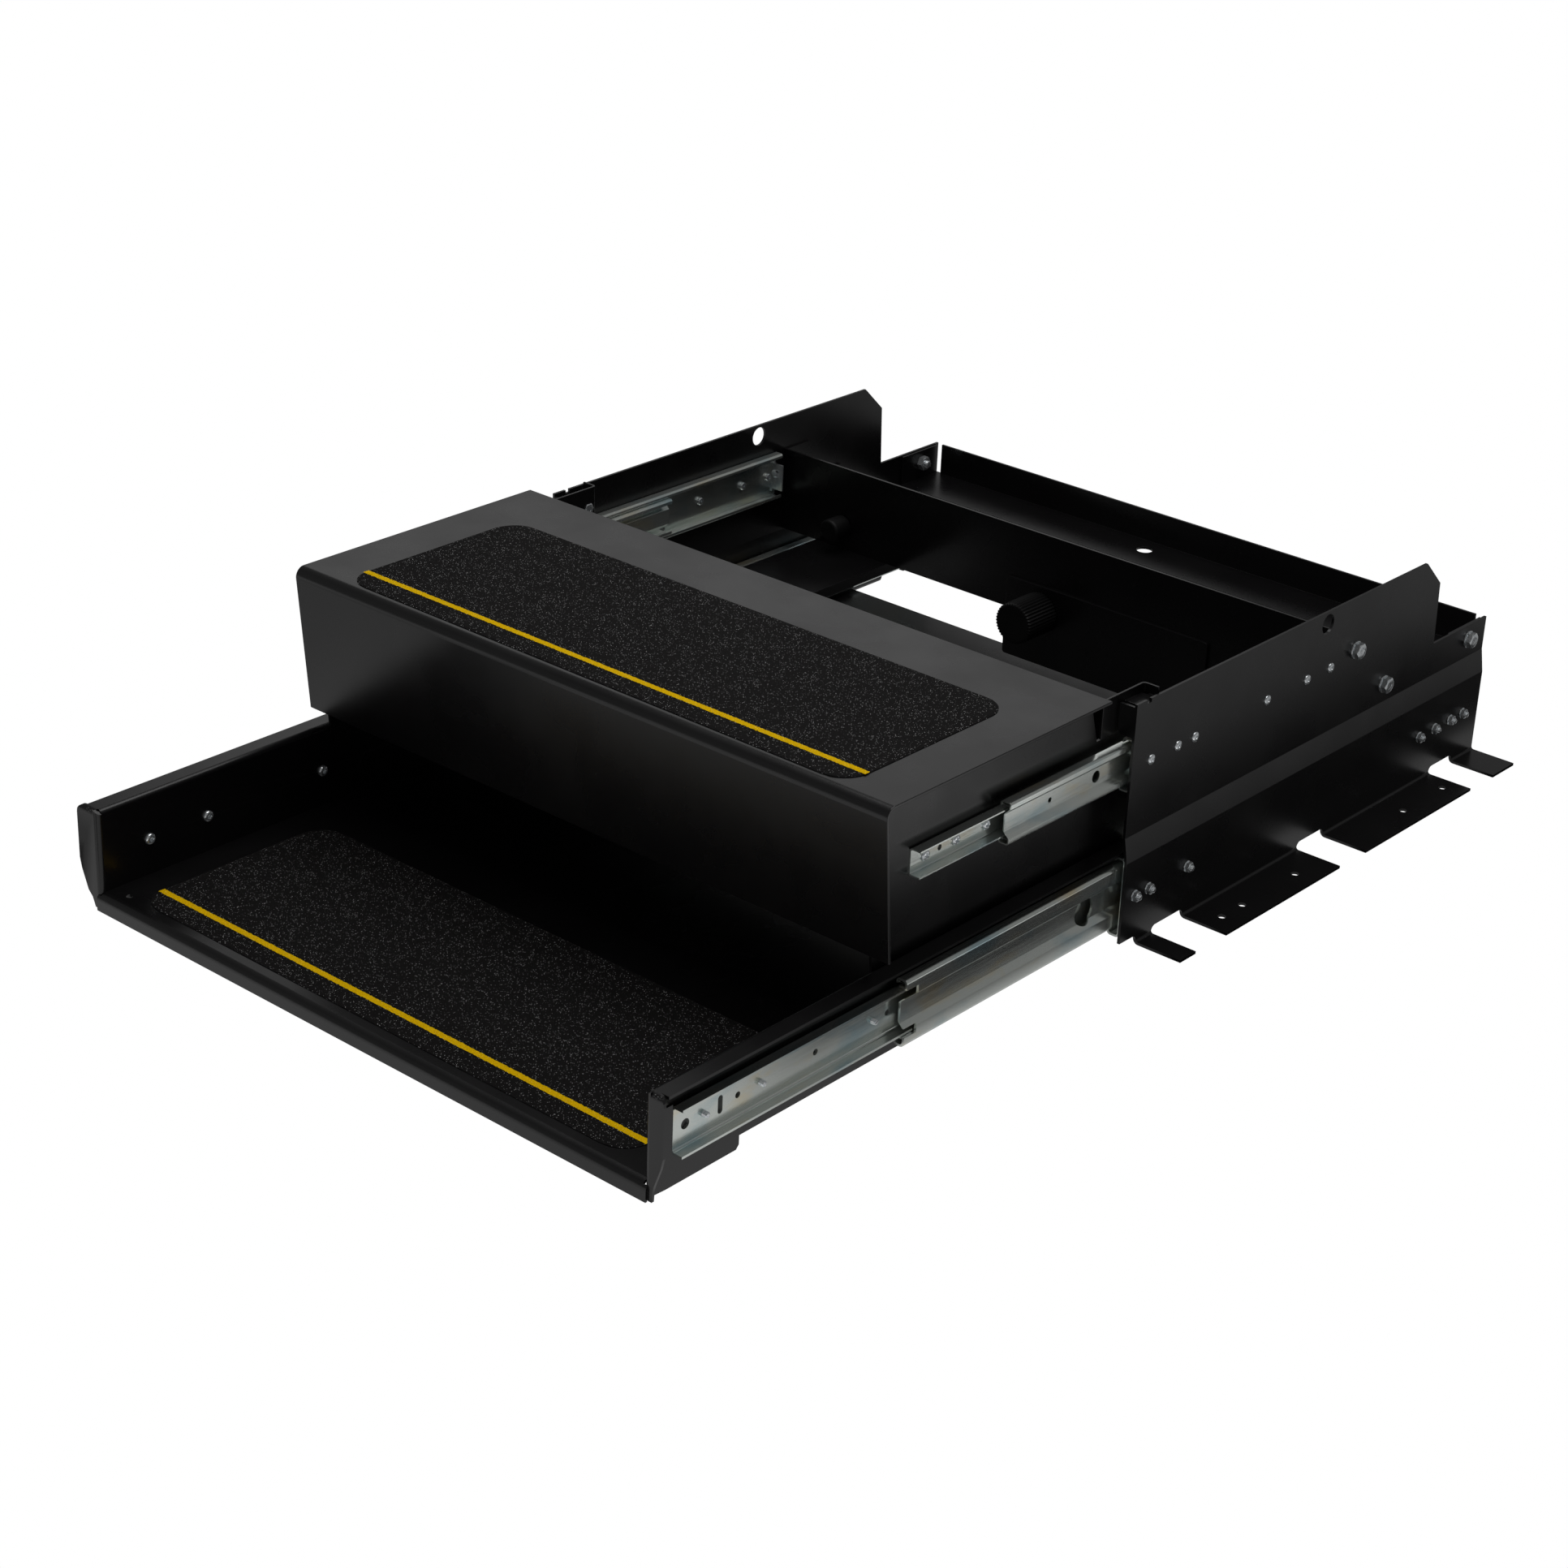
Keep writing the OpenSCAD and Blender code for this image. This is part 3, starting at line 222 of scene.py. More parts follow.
def bearing_steel(name):
    """Polished through hardened bearing balls, with a thin film of grease that dulls them in patches about
    2 mm across."""
    m, t = new_material(name)
    p = coords(t)
    film = add(t, "ShaderNodeTexNoise", {"Scale": 0.5, "Detail": 2.0}, {"Vector": p})
    r = add(t, "ShaderNodeMapRange", {"To Min": 0.05, "To Max": 0.25}, {"Value": film.outputs["Fac"]})
    s = add(t, "ShaderNodeBsdfPrincipled", {"Metallic": 1.0, "Base Color": srgb("dfe2e4")},
            {"Roughness": r.outputs[0]})
    finish_material(t, s)
    return m


MATERIALS = {
    "housing_black": powder_coat("housing powder coat"),
    "step_black": powder_coat("step powder coat"),
    "slide_zinc": rolled_zinc("rolled zinc strip"),
    "fastener_zinc": plated_fastener("plated fasteners"),
    "cage_steel": rolled_zinc("ball cage strip", tint="8f938f", warm="97917f", cool="848c90", rough=0.3),
    "ball_steel": bearing_steel("bearing balls"),
    "buffer_rubber": moulded_rubber("buffer rubber"),
    "grip_pad": grit("anti-slip film", ground=("070606", "141212"), speck="ffffff", share=0.92),
    "stripe_yellow": grit("yellow marked film", ground=("d8a800", "ffd400"), speck="fff2a0",
                          share=0.93, gloss=0.05),
}
# how far the edges of the CAD's folded sheet and rolled strip are rounded, in millimetres
EDGE = {"housing_black": 0.5, "step_black": 0.5, "slide_zinc": 0.45}
# degrees between two faces: above the first their edge is rounded, below the second they are merged,
# and above the third their shading stays creased
ROUND_ABOVE, MERGE_BELOW, CREASE_ABOVE = 30.0, 0.6, 9.35
SAME_POINT = 2e-6  # metres


def dress(obj, slot):
    """Gives a mesh the material of a slot of the record."""
    obj.data.materials.clear()
    obj.data.materials.append(MATERIALS[slot])


def soften(obj, width):
    """Merges a CAD node's triangles into flat faces and rounds its sharp edges by width, in millimetres."""
    weld = obj.modifiers.new("merge", "WELD")
    weld.merge_threshold = SAME_POINT
    flat = obj.modifiers.new("flat faces", "DECIMATE")
    flat.decimate_type = "DISSOLVE"
    flat.angle_limit = math.radians(MERGE_BELOW)
    b = obj.modifiers.new("rounded edges", "BEVEL")
    b.width = width * MM
    b.segments = 2
    b.limit_method = "ANGLE"
    b.angle_limit = math.radians(ROUND_ABOVE)
    b.use_clamp_overlap = True
    b.miter_outer = "MITER_ARC"
    split = obj.modifiers.new("creases", "EDGE_SPLIT")
    split.split_angle = math.radians(CREASE_ABOVE)
    split.use_edge_sharp = False
    w = obj.modifiers.new("flat face normals", "WEIGHTED_NORMAL")
    w.mode = "FACE_AREA"
    w.weight = 100  # large faces count for more
    obj.data.polygons.foreach_set("use_smooth", np.ones(len(obj.data.polygons), bool))


slot_of = {s["node"]: s["material_slot"] for s in frame["record"]["subparts"]}
for name, obj in nodes.items():
    dress(obj, slot_of[name])
    if slot_of[name] in EDGE:
        soften(obj, EDGE[slot_of[name]])


# Mesh code, where a part is its points as an array in millimetres and its faces as lists

def rings(rows, around, closed=False):
    """Quads between successive rows of a grid that is closed round; closed joins the last row to
    the first."""
    i = np.arange(rows if closed else rows - 1)[:, None]
    j = np.arange(around)[None, :]
    a0, a1 = i * around, ((i + 1) % rows) * around
    q = np.stack([a0 + j, a0 + (j + 1) % around, a1 + (j + 1) % around, a1 + j], -1)
    return q.reshape(-1, 4)


def turned(radius, height, around, closed=False):
    """A turned surface: at angle t row k is radius[k](t) away from the axis and height[k](t) along it.
    radius and height are arrays of rows by angles, or of rows alone for a round piece. A face fills each
    end, unless closed joins the last row to the first."""
    t = np.linspace(0, FULL_TURN, around, endpoint=False)
    r = np.broadcast_to(np.asarray(radius, float).reshape(len(radius), -1), (len(radius), around))
    h = np.broadcast_to(np.asarray(height, float).reshape(len(height), -1), (len(height), around))
    v = np.stack([r * np.cos(t), r * np.sin(t), h], -1).reshape(-1, 3)
    ends = [] if closed else [np.arange(around)[::-1], (len(r) - 1) * around + np.arange(around)]
    return v, rings(len(r), around, closed).tolist() + [e.tolist() for e in ends]


def levels(values, around):
    """Rows of a turned surface from values that are each one number, or an array over the angles."""
    return np.array([np.broadcast_to(value, around) for value in values], float)


def grid_faces(rows, columns, flip=False):
    """Quads of an open grid of points that is stored row by row; flip turns them over."""
    i = np.arange(rows - 1)[:, None] * columns + np.arange(columns - 1)[None, :]
    steps = (0, columns, columns + 1, 1) if flip else (0, 1, columns + 1, columns)
    return np.stack([i + step for step in steps], -1).reshape(-1, 4).tolist()


def set_at(part, axis, at):
    """Turns a part built along +Z so that it points along axis (+x, -x, +y, -y), and moves it to at."""
    v, faces = part
    turn = {"+x": [[0, 0, 1], [1, 0, 0], [0, 1, 0]], "-x": [[0, 0, -1], [-1, 0, 0], [0, 1, 0]],
            "+y": [[-1, 0, 0], [0, 0, 1], [0, 1, 0]], "-y": [[1, 0, 0], [0, 0, -1], [0, 1, 0]]}[axis]
    return v @ np.array(turn, float).T + np.array(at, float), faces


def put(name, parts, body, slot, replaces=(), smooth=35.0):
    """One object from several parts, riding on a body and standing in for CAD nodes. Edges sharper than
    smooth degrees stay creased."""
    verts = np.concatenate([v for v, _ in parts]) * MM
    faces, base = [], 0
    for v, f in parts:
        faces += [[i + base for i in face] for face in f]
        base += len(v)
    mesh = bpy.data.meshes.new(name)
    mesh.from_pydata(verts.tolist(), [], faces)
    mesh.validate()
    mesh.polygons.foreach_set("use_smooth", np.ones(len(mesh.polygons), bool))
    mesh.set_sharp_from_angle(angle=math.radians(smooth))
    obj = bpy.data.objects.new(name, mesh)
    bpy.context.scene.collection.objects.link(obj)
    dress(obj, slot)
    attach(obj, body)
    if replaces:
        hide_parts(*replaces)


# Screws, nuts, washers and buffers, all built along +Z from their seat

CHAMFER = math.tan(math.radians(30))
CHAMFER_CIRCLE = 0.475  # its radius as a share of the width across flats


def hex_sides(af, high, around):
    """Sides of a hexagon of width af, chamfered at the top: their distance from the axis at each angle,
    half of af over the cosine of the angle to the nearest flat's middle; the height that they reach, high
    less the tangent of 30 degrees times what they stand out past the chamfer circle, which makes the
    curved arcs on the flats; and that circle's radius."""
    t = np.linspace(0, 360, around, endpoint=False)
    side = af / 2 / np.cos(np.radians(np.mod(t, 60) - 30))
    circle = af * CHAMFER_CIRCLE
    return side, high - np.maximum(side - circle, 0) * CHAMFER, circle


def hex_head(af, high, around=48):
    """Hexagon head with a chamfer, a washer face below and a shallow dish on top."""
    side, top, circle = hex_sides(af, high, around)
    face, dish = 0.35, 0.3
    r = [circle, circle, side, side, circle, circle * 0.55, circle * 0.5, circle * 0.1]
    z = [0, face, face, top, high, high, high - dish + 0.05, high - dish]
    return turned(levels(r, around), levels(z, around), around)


def hex_nut(af, high, bore, around=48):
    """Hexagon nut with a chamfer, a washer face below and a bore that is countersunk on top."""
    side, top, circle = hex_sides(af, high, around)
    face, sink = 0.3, 0.5
    r = [bore, circle, circle, side, side, circle, bore + sink, bore]
    z = [0, 0, face, face, top, high, high, high - sink]
    return turned(levels(r, around), levels(z, around), around, closed=True)


def thread(radius, z0, z1, pitch, around=24):
    """Threaded end: the radius falls by 0.55 pitch times a triangle wave of height over pitch less the
    turn, and over the last pitch it narrows to 0.65 of itself, by the square of the way along."""
    rows_a_pitch, fewest = 6, 8
    rows = max(int((z1 - z0) / pitch * rows_a_pitch), fewest)
    z = np.linspace(z0, z1, rows)[:, None]
    t = np.linspace(0, 1, around, endpoint=False)[None, :]
    wave = np.abs(np.mod(z / pitch - t, 1.0) - 0.5) * 2
    r = radius - 0.55 * pitch * wave
    end = np.clip((z - (z1 - pitch)) / pitch, 0, 1)
    r = np.minimum(r, radius * (1 - 0.35 * end ** 2))
    return turned(r, np.broadcast_to(z, r.shape), around)


def washer(radius, bore, high, around=40):
    """Flat washer whose outer edges are broken by c."""
    c = 0.25
    r = [bore, radius - c, radius, radius, radius - c, bore]
    return turned(r, [0, 0, c, high - c, high, high], around, closed=True)


def pan_head(radius, high, cross=0.0, socket=0.0, around=60, skirt=0.3):
    """Pan head: its height is skirt, a share of high, plus the rest of high times the square root of
    1 - (r/R)^4, less a cross recess of two crossed slots that get shallower to their sides and ends, or
    less a round socket that narrows as it goes down."""
    k = np.linspace(1, 0.02, 26)[:, None] * radius
    t = np.linspace(0, FULL_TURN, around, endpoint=False)[None, :]
    x, y = k * np.cos(t), k * np.sin(t)
    z = high * (skirt + (1 - skirt) * np.sqrt(np.clip(1 - (k / radius) ** 4, 0, 1)))
    z = np.broadcast_to(z, x.shape).copy()
    if cross:
        long, wide = cross, cross * 0.27
        slots = [np.clip((wide - np.abs(over)) / (0.35 * wide), 0, 1)
                 * np.clip((long - np.abs(along)) / (0.5 * long), 0, 1)
                 for over, along in ((x, y), (y, x))]
        z -= 0.75 * high * np.maximum(*slots)
    if socket:
        z -= 0.7 * high * np.clip((socket - k) / (0.25 * socket), 0, 1)
    r = np.concatenate([np.full((1, around), radius), np.broadcast_to(k, x.shape)])
    return turned(r, np.concatenate([np.zeros((1, around)), z]), around)


def round_bar(radius, high, edge, around=40, flutes=0, depth=0.0, dish=0.0):
    """Round bar whose ends are rounded by quarter circles of radius edge, with a dished top. Flutes
    scallop the side: the radius falls by depth times half of one plus the cosine of flutes times t."""
    a = np.linspace(0, math.pi / 2, 7)
    t = np.linspace(0, FULL_TURN, around, endpoint=False)
    top_r, top_z = radius - edge + edge * np.cos(a), high - edge + edge * np.sin(a)
    low_r, low_z = radius - edge + edge * np.sin(a), edge - edge * np.cos(a)
    side = np.linspace(edge, high - edge, 9)[1:-1]
    middle = radius * 0.05
    r = np.concatenate([[middle], low_r, np.full(len(side), radius), top_r, [radius * 0.55, middle]])
    z = np.concatenate([[0], low_z, side, top_z, [high - dish * 0.7, high - dish]])
    grid = r[:, None] * np.ones(around)[None, :]
    if flutes:
        cut = depth * (0.5 + 0.5 * np.cos(flutes * t))[None, :]
        grid = grid - cut * np.clip((grid - 0.8 * radius) / (0.1 * radius), 0, 1)
    return turned(grid, np.broadcast_to(z[:, None], grid.shape), around)


def bead(size, at, turn, rows=9, around=20, lumps=0.12):
    """A bead of weld: an ellipsoid whose radius is 1 + lumps * sin(3t) * sin(5z + t), with its two ends
    cut flat, scaled to size and turned about the vertical."""
    cut = 0.12
    a = np.linspace(cut, math.pi - cut, rows)[:, None]
    t = np.linspace(0, FULL_TURN, around, endpoint=False)[None, :]
    r = 1 + lumps * np.sin(3 * t) * np.sin(5 * np.cos(a) + t)
    v = np.stack([r * np.sin(a) * np.cos(t), r * np.sin(a) * np.sin(t), np.cos(a) * np.ones_like(t)], -1)
    v = v.reshape(-1, 3) * np.array(size) / 2
    c, n = math.cos(turn), math.sin(turn)
    v = v @ np.array([[c, n, 0], [-n, c, 0], [0, 0, 1]]) + np.array(at, float)
    ends = [np.arange(around).tolist(), ((rows - 1) * around + np.arange(around))[::-1].tolist()]
    return v, rings(rows, around)[:, ::-1].tolist() + ends


# Places and sizes in millimetres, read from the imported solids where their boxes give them

def span(node):
    """A node's lowest and highest corners in millimetres."""
    lo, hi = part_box(node)
    return np.array(lo) / MM, np.array(hi) / MM


FRONT = span("side_plate_right")[0][1]  # front edge of the side plates
SHEET = 2.5                             # folded sheet of the housing and the steps
UPPER_STRIP, LOWER_STRIP = 1.2, 2       # rolled strip of the slides
slide_lo, slide_hi = span("upper_outer_slide_right")
plate_in, upper_z = slide_hi[0], (slide_lo[2] + slide_hi[2]) / 2
low_lo, low_hi = span("lower_outer_slide_right")
low_in, lower_z = low_hi[0], (low_lo[2] + low_hi[2]) / 2
plate_out, low_out = plate_in + SHEET, low_in + SHEET
BOTH = ((1, "+x", "-x"), (-1, "-x", "+x"))  # each side's sign, its way out and its way in

# distances behind the front edge of the side plates; the frame bolts' heights follow theirs
FRAME_BOLTS = ((328, 169.7), (383.7, 120.8), (529, 120.8))
UPPER_SCREWS = (26, 63, 87, 192, 252.5, 289)
LOWER_BOLTS = (15, 34, 89, 454, 481, 508.5, 530)
# distances behind the front end of the inner slide members
UPPER_INNER = (16.5, 53, 90, 262)
LOWER_INNER = (32, 92, 217, 380, 520)
LEFT_FORWARD = 5  # the tray's left screws sit this much further forward

# thread sizes: af is the width across flats, head and nut are heights, bore is the nut's bore radius
M8 = {"af": 13, "head": 5.3, "nut": 6.5, "radius": 4, "bore": 3.6, "pitch": 1.25}
M6 = {"af": 10, "head": 1.1, "nut": 5, "radius": 3, "bore": 2.7, "pitch": 1.0}
M5 = {"af": 8, "nut": 4.4, "radius": 2.5, "bore": 2.3, "pitch": 0.8}
M8_WASHER = {"radius": 8, "bore": 4.1, "high": 1.6}
M5_FLANGE = {"radius": 5.0, "bore": 2.6, "high": 0.9}
START = 0.2  # from a head's seat to where its thread starts, inside the head or the sheet

# heads: cross is half the recess's length, socket its radius
RIVET_HEAD = {"radius": 4.5, "high": 1.9, "socket": 1.6}
RIVET_END = {"radius": 3.6, "high": 3.2, "socket": 1.2, "skirt": 0.7}
SLIDE_BOLT = {"radius": 5.2, "high": 2.2, "cross": 2.6}
INNER_PAN = {"radius": 4.6, "high": 2.4, "cross": 2.5}
TRAY_ROUND = {"radius": 4.8, "high": 3.0, "socket": 1.9}


def behind_front(u):
    """Y of a place u behind the front edge of the side plates."""
    return FRONT + u


def bolt_end(size, end, start=0):
    """The threaded end of a bolt of a thread size, from start to end along its axis."""
    return thread(size["radius"], start, end, size["pitch"])


def nut(size):
    """The hexagon nut of a thread size."""
    return hex_nut(size["af"], size["nut"], size["bore"])


def frame_fasteners():
    """Hexagon bolts, washers and nuts that hold the stop beam and the rear pan."""
    seat = plate_out + M8_WASHER["high"]
    heads, discs, nuts = [], [], []
    for s, out, inn in BOTH:
        for u, z in FRAME_BOLTS:
            y = behind_front(u)
            heads.append(set_at(hex_head(M8["af"], M8["head"]), out, (s * seat, y, z)))
            heads.append(set_at(bolt_end(M8, end=17), inn, (s * (seat + START), y, z)))
            discs.append(set_at(washer(**M8_WASHER), out, (s * plate_out, y, z)))
            nuts.append(set_at(nut(M8), inn, (s * (plate_in - SHEET), y, z)))
    put("frame_hex_bolts", heads, "housing", "fastener_zinc", ["frame_bolts"])
    put("frame_flat_washers", discs, "housing", "fastener_zinc", ["frame_washers"])
    put("frame_hex_nuts", nuts, "housing", "fastener_zinc", ["frame_nuts"])


def slide_fasteners():
    """Low heads and rivet ends of the upper slides; bolts, flanged nuts and bolt ends of the lower ones."""
    upper, lower, nuts = [], [], []
    for s, out, inn in BOTH:
        for u in UPPER_SCREWS:
            y = behind_front(u)
            upper.append(set_at(pan_head(**RIVET_HEAD), out, (s * plate_out, y, upper_z)))
            upper.append(set_at(pan_head(**RIVET_END), inn, (s * (plate_in - UPPER_STRIP), y, upper_z)))
        for u in LOWER_BOLTS:
            outside = (s * low_out, behind_front(u), lower_z)
            inside = (s * (low_in - LOWER_STRIP), behind_front(u), lower_z)
            lower.append(set_at(pan_head(**SLIDE_BOLT), inn, inside))
            lower.append(set_at(bolt_end(M5, start=-4, end=6.8), out, outside))
            nuts.append(set_at(nut(M5), out, outside))
            nuts.append(set_at(washer(**M5_FLANGE), out, outside))
    put("upper_slide_rivets", upper, "housing", "fastener_zinc", ["upper_slide_screws"])
    put("lower_slide_screws", lower, "housing", "fastener_zinc", ["lower_slide_bolts"])
    put("lower_flange_nuts", nuts, "housing", "fastener_zinc", ["lower_slide_nuts"])


def step_fasteners():
    """Pan heads on the upper inner members, and the tray's round heads with threaded ends outside."""
    web, upper_front, _ = span("upper_inner_slide_right")[0]
    tray_face, lower_front, _ = span("lower_inner_slide_right")[0]
    upper_seat, lower_seat = web + UPPER_STRIP, tray_face - SHEET
    upper, lower = [], []
    for s, out, inn in BOTH:
        for d in UPPER_INNER:
            y = upper_front + d
            upper.append(set_at(pan_head(**INNER_PAN), out, (s * upper_seat, y, upper_z)))
            upper.append(set_at(bolt_end(M5, end=6.6), inn, (s * (upper_seat - START), y, upper_z)))
        for d in LOWER_INNER:
            y = lower_front + d - (LEFT_FORWARD if s < 0 else 0)
            lower.append(set_at(pan_head(**TRAY_ROUND), inn, (s * lower_seat, y, lower_z)))
            lower.append(set_at(bolt_end(M5, end=8.7), out, (s * (lower_seat + START), y, lower_z)))
    put("upper_pan_screws", upper, "upper_step", "fastener_zinc", ["upper_inner_screws"])
    put("tray_round_screws", lower, "lower_step", "fastener_zinc", ["lower_inner_screws"])


def post_fasteners():
    """Thin headed screws and nuts that hold the front posts, whose wall is between them."""
    face, wall = span("front_post_right")[0][0], 2
    low, high = span("post_screws")
    _, y, z = (low + high) / 2
    screws, nuts = [], []
    for s, out, inn in BOTH:
        screws.append(set_at(hex_head(M6["af"], M6["head"]), inn, (s * face, y, z)))
        screws.append(set_at(bolt_end(M6, end=8), out, (s * face, y, z)))
        nuts.append(set_at(nut(M6), out, (s * (face + wall), y, z)))
    put("post_hex_screws", screws, "housing", "fastener_zinc", ["post_screws"])
    put("post_hex_nuts", nuts, "housing", "fastener_zinc", ["post_nuts"])


def buffers():
    """Two round side buffers and the fluted middle one, with their studs and nuts behind the beam."""
    low, high = span("side_buffers")
    r = (high[2] - low[2]) / 2
    x, z = high[0] - r, (high[2] + low[2]) / 2
    side = round_bar(r, high[1] - low[1], edge=3.0, dish=0.6)
    sides = [set_at(side, "-y", (s * x, high[1], z)) for s in (1, -1)]
    put("side_rubber_buffers", sides, "housing", "buffer_rubber", ["side_buffers"])

    low, high = span("middle_buffer")
    middle = round_bar((high[2] - low[2]) / 2, high[1] - low[1], edge=2.2, around=240, flutes=40,
                       depth=1.1, dish=0.8)
    middle = [set_at(middle, "-y", (0, high[1], (low[2] + high[2]) / 2))]
    put("middle_rubber_buffer", middle, "housing", "buffer_rubber", ["middle_buffer"])

    back = span("stop_beam")[0][1] + SHEET
    in_sheet, middle_stud_z = 1.5, 125
    studs = []
    for stud_x, stud_z in ((x, z), (-x, z), (0, middle_stud_z)):
        studs.append(set_at(bolt_end(M6, start=-1, end=8), "+y", (stud_x, back - in_sheet, stud_z)))
        studs.append(set_at(nut(M6), "+y", (stud_x, back, stud_z)))
    put("buffer_studs", studs, "housing", "fastener_zinc", ["buffer_screws"])


BEAD_DEEP, BEAD_HIGH = 2.6, 2.4
FROM_SIDE = 10  # from the tray wall's outer side to the first bead
# each bead's place from there, outwards, back and up; its width; and its turn in radians
BEADS = ((0.0, 1.7, -1.7, 3.4, 0.7), (2.6, 1.4, -2.3, 3.8, 0.4), (5.4, 1.9, -1.5, 3.2, 0.1))


def tray_corner_welds():
    """Small weld beads, coated over, on the rounded corner between top flange and front flange."""
    lo, hi = span("tray_wall_right")
    x, y, z = hi[0] - FROM_SIDE, lo[1], hi[2]
    beads = [bead((wide, BEAD_DEEP, BEAD_HIGH), (s * (x + out), y + back, z + up), s * turn)
             for s in (1, -1) for out, back, up, wide, turn in BEADS]
    put("tray_corner_weld_beads", beads, "lower_step", "step_black", smooth=60)


def grip_sheet(step, rng):
    """Anti-slip film of a step: a grid squeezed into a rounded rectangle. Its height is the film's top less
    grain, plus grain times the square of a random number, less fall times the way that is left to go of
    the last slope millimetres at its edge."""
    lo, hi = span(step + "_grip_pad")
    wide, deep, top = hi[0] - lo[0], hi[1] - lo[1], hi[2]
    corner, grain, fall, slope = 25.0, 0.05, 0.55, 0.9
    nx, ny = 341, 123  # points about 1.6 mm apart
    u = np.linspace(-1, 1, nx)[None, :] * np.ones((ny, 1))
    v = np.linspace(-1, 1, ny)[:, None] * np.ones((1, nx))
    y = v * deep / 2
    over = np.clip(np.abs(y) - (deep / 2 - corner), 0, corner)
    half = wide / 2 - corner + np.sqrt(np.clip(corner * corner - over ** 2, 0, None))
    x = u * half
    gap = np.minimum(half - np.abs(x), deep / 2 - np.abs(y))
    z = top - grain + rng.random((ny, nx)) ** 2 * grain - fall * np.clip(1 - gap / slope, 0, 1)
    verts = np.stack([x + (lo[0] + hi[0]) / 2, y + (lo[1] + hi[1]) / 2, z], -1).reshape(-1, 3)
    put(step + "_grip_sheet", [(verts, grid_faces(ny, nx))], step + "_step", "grip_pad",
        [step + "_grip_pad"], smooth=180)


def grip_stripe(step, rng):
    """Yellow stripe on a step's film: a narrow grid whose two long edges wander by up to 0.4 mm, at a height
    of lift above the film plus grain times the square of a random number, lower by dip at its two ends."""
    lo, hi = span(step + "_stripe")
    top = span(step + "_grip_pad")[1][2]
    lift, grain, dip, ends, wander = 0.02, 0.25, 0.05, 0.1, 0.8
    along, across = 620, 6  # points, about 0.9 mm apart along it
    edges = np.array([wander] + [0] * (across - 2) + [wander])
    x = np.linspace(lo[0], hi[0], along)[:, None] * np.ones((1, across))
    inside = (x > lo[0] + ends) & (x < hi[0] - ends)
    y = np.linspace(lo[1], hi[1], across)[None, :] + (rng.random((along, across)) - 0.5) * edges
    z = top + lift + rng.random((along, across)) ** 2 * grain - dip * ~inside
    verts = np.stack([x, y, z], -1).reshape(-1, 3)
    put(step + "_grip_sheet_stripe", [(verts, grid_faces(along, across, flip=True))], step + "_step",
        "stripe_yellow", [step + "_stripe"], smooth=180)


frame_fasteners()
slide_fasteners()
step_fasteners()
post_fasteners()
buffers()
tray_corner_welds()
for step, seed in (("upper", 4), ("lower", 9)):
    rng = np.random.default_rng(seed)
    grip_sheet(step, rng)
    grip_stripe(step, rng)


# Studio, in metres

# Rectangles of the floor that reflections see darker or brighter, painted into its glow: shadow of the
# object
# beside and under it, a darker stretch in front on the left, and a pool of light where a bright card would
# be:
# middle, half size, half width of the soft edge, and the share of the floor's light left.
FLOOR_PATCHES = (
    ((0.436, 0.02), (0.079, 0.52), (0.01, 0.1), 0.04),   # painted shadow of the housing, along its right side
    ((0.385, -0.44), (0.035, 0.2), (0.02, 0.1), 0.15),   # painted shade ahead of that, on the right of the steps
    ((0.0, -0.1), (0.3, 0.42), (0.04, 0.06), 0.06),      # painted shadow of the object, under the housing and the upper step
    ((-0.75, -0.7), (0.3, 0.5), (0.15, 0.15), 0.6),      # in front, on the left
    ((0.615, -0.2), (0.09, 0.13), (0.02, 0.05), 2.4),    # a painted pool of light where a bright card would be, which the upper slides reflect
)
FLOOR_HALF, FLOOR_Z = 12.0, -0.0006
# the floor gets paler this way, from its dark level to its pale one between these two places along it
PALE_WAY = (-0.6, -0.8, 0)
DARK_FROM, PALE_FROM = -0.9, 0.8
DARK_LEVEL, PALE_LEVEL = 0.26, 0.6
# the world's grey, from the horizon at 0 to straight up at 1
WORLD_TONES = ((0.0, 0.10), (0.2, 0.18), (0.5, 0.18), (0.7, 0.12), (1.0, 0.25))


def floor_patch(tree, where, middle, half, soft, share):
    """1 outside a rectangle of the floor and share inside it, with soft edges."""
    off = add(tree, "ShaderNodeVectorMath", {1: (*middle, 0)}, {0: where}, operation="SUBTRACT")
    away = add(tree, "ShaderNodeVectorMath", links={0: off.outputs[0]}, operation="ABSOLUTE")
    part = add(tree, "ShaderNodeSeparateXYZ", links={"Vector": away.outputs[0]})
    sides = [add(tree, "ShaderNodeMapRange",
                 {"From Min": half[k] - soft[k], "From Max": half[k] + soft[k]},
                 {"Value": part.outputs[k]}, interpolation_type="SMOOTHSTEP").outputs[0] for k in (0, 1)]
    most = add(tree, "ShaderNodeMath", links={0: sides[0], 1: sides[1]}, operation="MAXIMUM")
    return add(tree, "ShaderNodeMapRange", {"To Min": share}, {"Value": most.outputs[0]}).outputs[0]


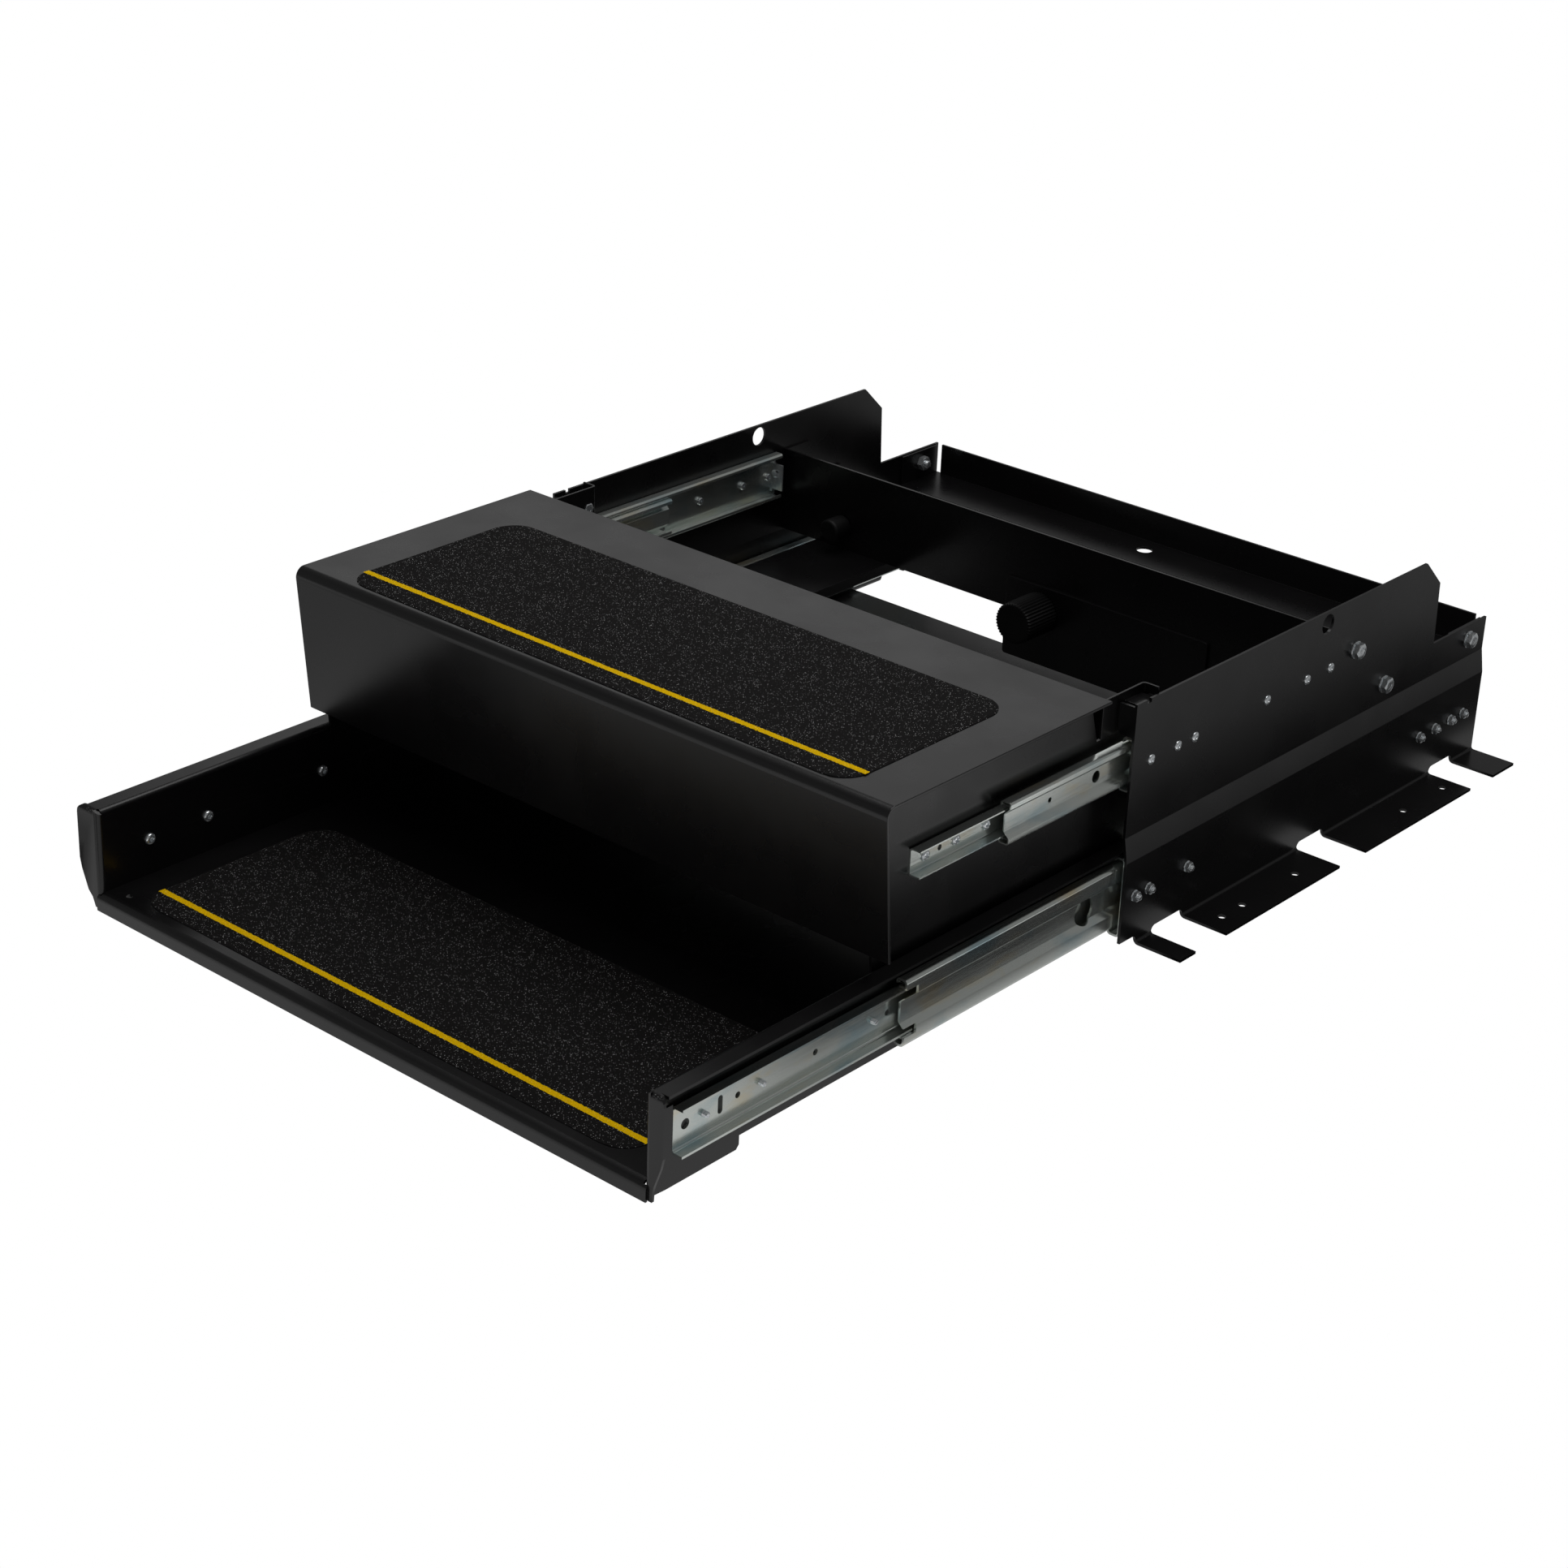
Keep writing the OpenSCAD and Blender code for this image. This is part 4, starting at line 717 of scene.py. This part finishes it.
def studio_floor():
    """A floor that the camera sees as plain white. In reflections it is pale in front and to the left and
    darker behind and to the right, with the patches above."""
    m, t = new_material("studio floor")
    path = add(t, "ShaderNodeLightPath")
    seen = add(t, "ShaderNodeEmission", {"Color": grey(1.0), "Strength": 1.0})
    where = add(t, "ShaderNodeNewGeometry").outputs["Position"]
    lean = add(t, "ShaderNodeVectorMath", {1: PALE_WAY}, {0: where}, operation="DOT_PRODUCT")
    level = add(t, "ShaderNodeMapRange",
                {"From Min": DARK_FROM, "From Max": PALE_FROM, "To Min": DARK_LEVEL, "To Max": PALE_LEVEL},
                {"Value": lean.outputs["Value"]}).outputs[0]
    # painted shadow of the object and a painted pool of light, multiplied into the floor's glow
    for middle, half, soft, share in FLOOR_PATCHES:
        patch = floor_patch(t, where, middle, half, soft, share)
        level = add(t, "ShaderNodeMath", links={0: level, 1: patch}, operation="MULTIPLY").outputs[0]
    glow = add(t, "ShaderNodeEmission", {"Color": grey(1.0)}, {"Strength": level})
    mix = add(t, "ShaderNodeMixShader",
              links={0: path.outputs["Is Camera Ray"], 1: glow.outputs[0], 2: seen.outputs[0]})
    finish_material(t, mix)
    r, z = FLOOR_HALF, FLOOR_Z
    mesh = bpy.data.meshes.new("floor")
    mesh.from_pydata([(-r, -r, z), (r, -r, z), (r, r, z), (-r, r, z)], [], [(0, 1, 2, 3)])
    floor = bpy.data.objects.new("floor", mesh)
    floor.data.materials.append(m)
    bpy.context.scene.collection.objects.link(floor)


def studio_world():
    """A world that the camera sees as plain white, and that lights the object dimly, by height."""
    world = bpy.data.worlds.new("studio")
    bpy.context.scene.world = world
    world.use_nodes = True
    t = world.node_tree
    t.nodes.clear()
    path = add(t, "ShaderNodeLightPath")
    around = add(t, "ShaderNodeTexCoord")
    high = add(t, "ShaderNodeSeparateXYZ", links={"Vector": around.outputs["Generated"]})
    tone = add(t, "ShaderNodeValToRGB", links={"Fac": high.outputs["Z"]},
               stops=[(place, grey(level)) for place, level in WORLD_TONES])
    dim = add(t, "ShaderNodeBackground", {"Strength": 1.0}, {"Color": tone.outputs["Color"]})
    white = add(t, "ShaderNodeBackground", {"Color": grey(1.0), "Strength": 1.0})
    mix = add(t, "ShaderNodeMixShader",
              links={0: path.outputs["Is Camera Ray"], 1: dim.outputs[0], 2: white.outputs[0]})
    add(t, "ShaderNodeOutputWorld", links={"Surface": mix.outputs[0]})


def set_pose(obj, right, up, back, place):
    """Turns an object to its three axes and moves it to its place."""
    rows = [[right[k], up[k], back[k], place[k]] for k in range(3)]
    obj.matrix_world = Matrix(rows + [[0, 0, 0, 1]])


def soft_box(name, place, aim, size, level):
    """A rectangular area lamp at place, facing aim; level is its brightness, where 1 looks white."""
    lamp = bpy.data.lights.new(name, "AREA")
    lamp.shape = "RECTANGLE"
    lamp.size, lamp.size_y = size
    lamp.energy = level * size[0] * size[1] * math.pi
    o = bpy.data.objects.new(name, lamp)
    bpy.context.scene.collection.objects.link(o)
    back = np.array(place, float) - np.array(aim, float)
    back /= np.linalg.norm(back)
    right = np.cross([0, 0, 1.0], back)
    right /= np.linalg.norm(right)
    set_pose(o, right, np.cross(back, right), back, place)


def camera():
    """The photograph's view, from a fit of the step's corners."""
    right = np.array([0.75036251, 0.65996685, 0.0374146])
    up = np.array([-0.31003139, 0.30137788, 0.90169391])
    place = (1.57682674, -2.18872471, 1.21788348)
    cam = bpy.data.cameras.new("camera")
    cam.lens, cam.sensor_width = 72.664, 36.0
    cam.clip_start, cam.clip_end = 0.05, 60.0
    o = bpy.data.objects.new("camera", cam)
    bpy.context.scene.collection.objects.link(o)
    set_pose(o, right, up, np.cross(right, up), place)
    bpy.context.scene.camera = o


studio_floor()
studio_world()
soft_box("back panel", place=(-1.85, 1.59, 1.47), aim=(0, -0.15, 0.2), size=(1.9, 0.85), level=0.46)
soft_box("top box", place=(0.1, -0.1, 2.3), aim=(0, -0.15, 0.1), size=(1.8, 1.8), level=2.4)
camera()
bpy.context.scene.view_settings.view_transform = "Standard"
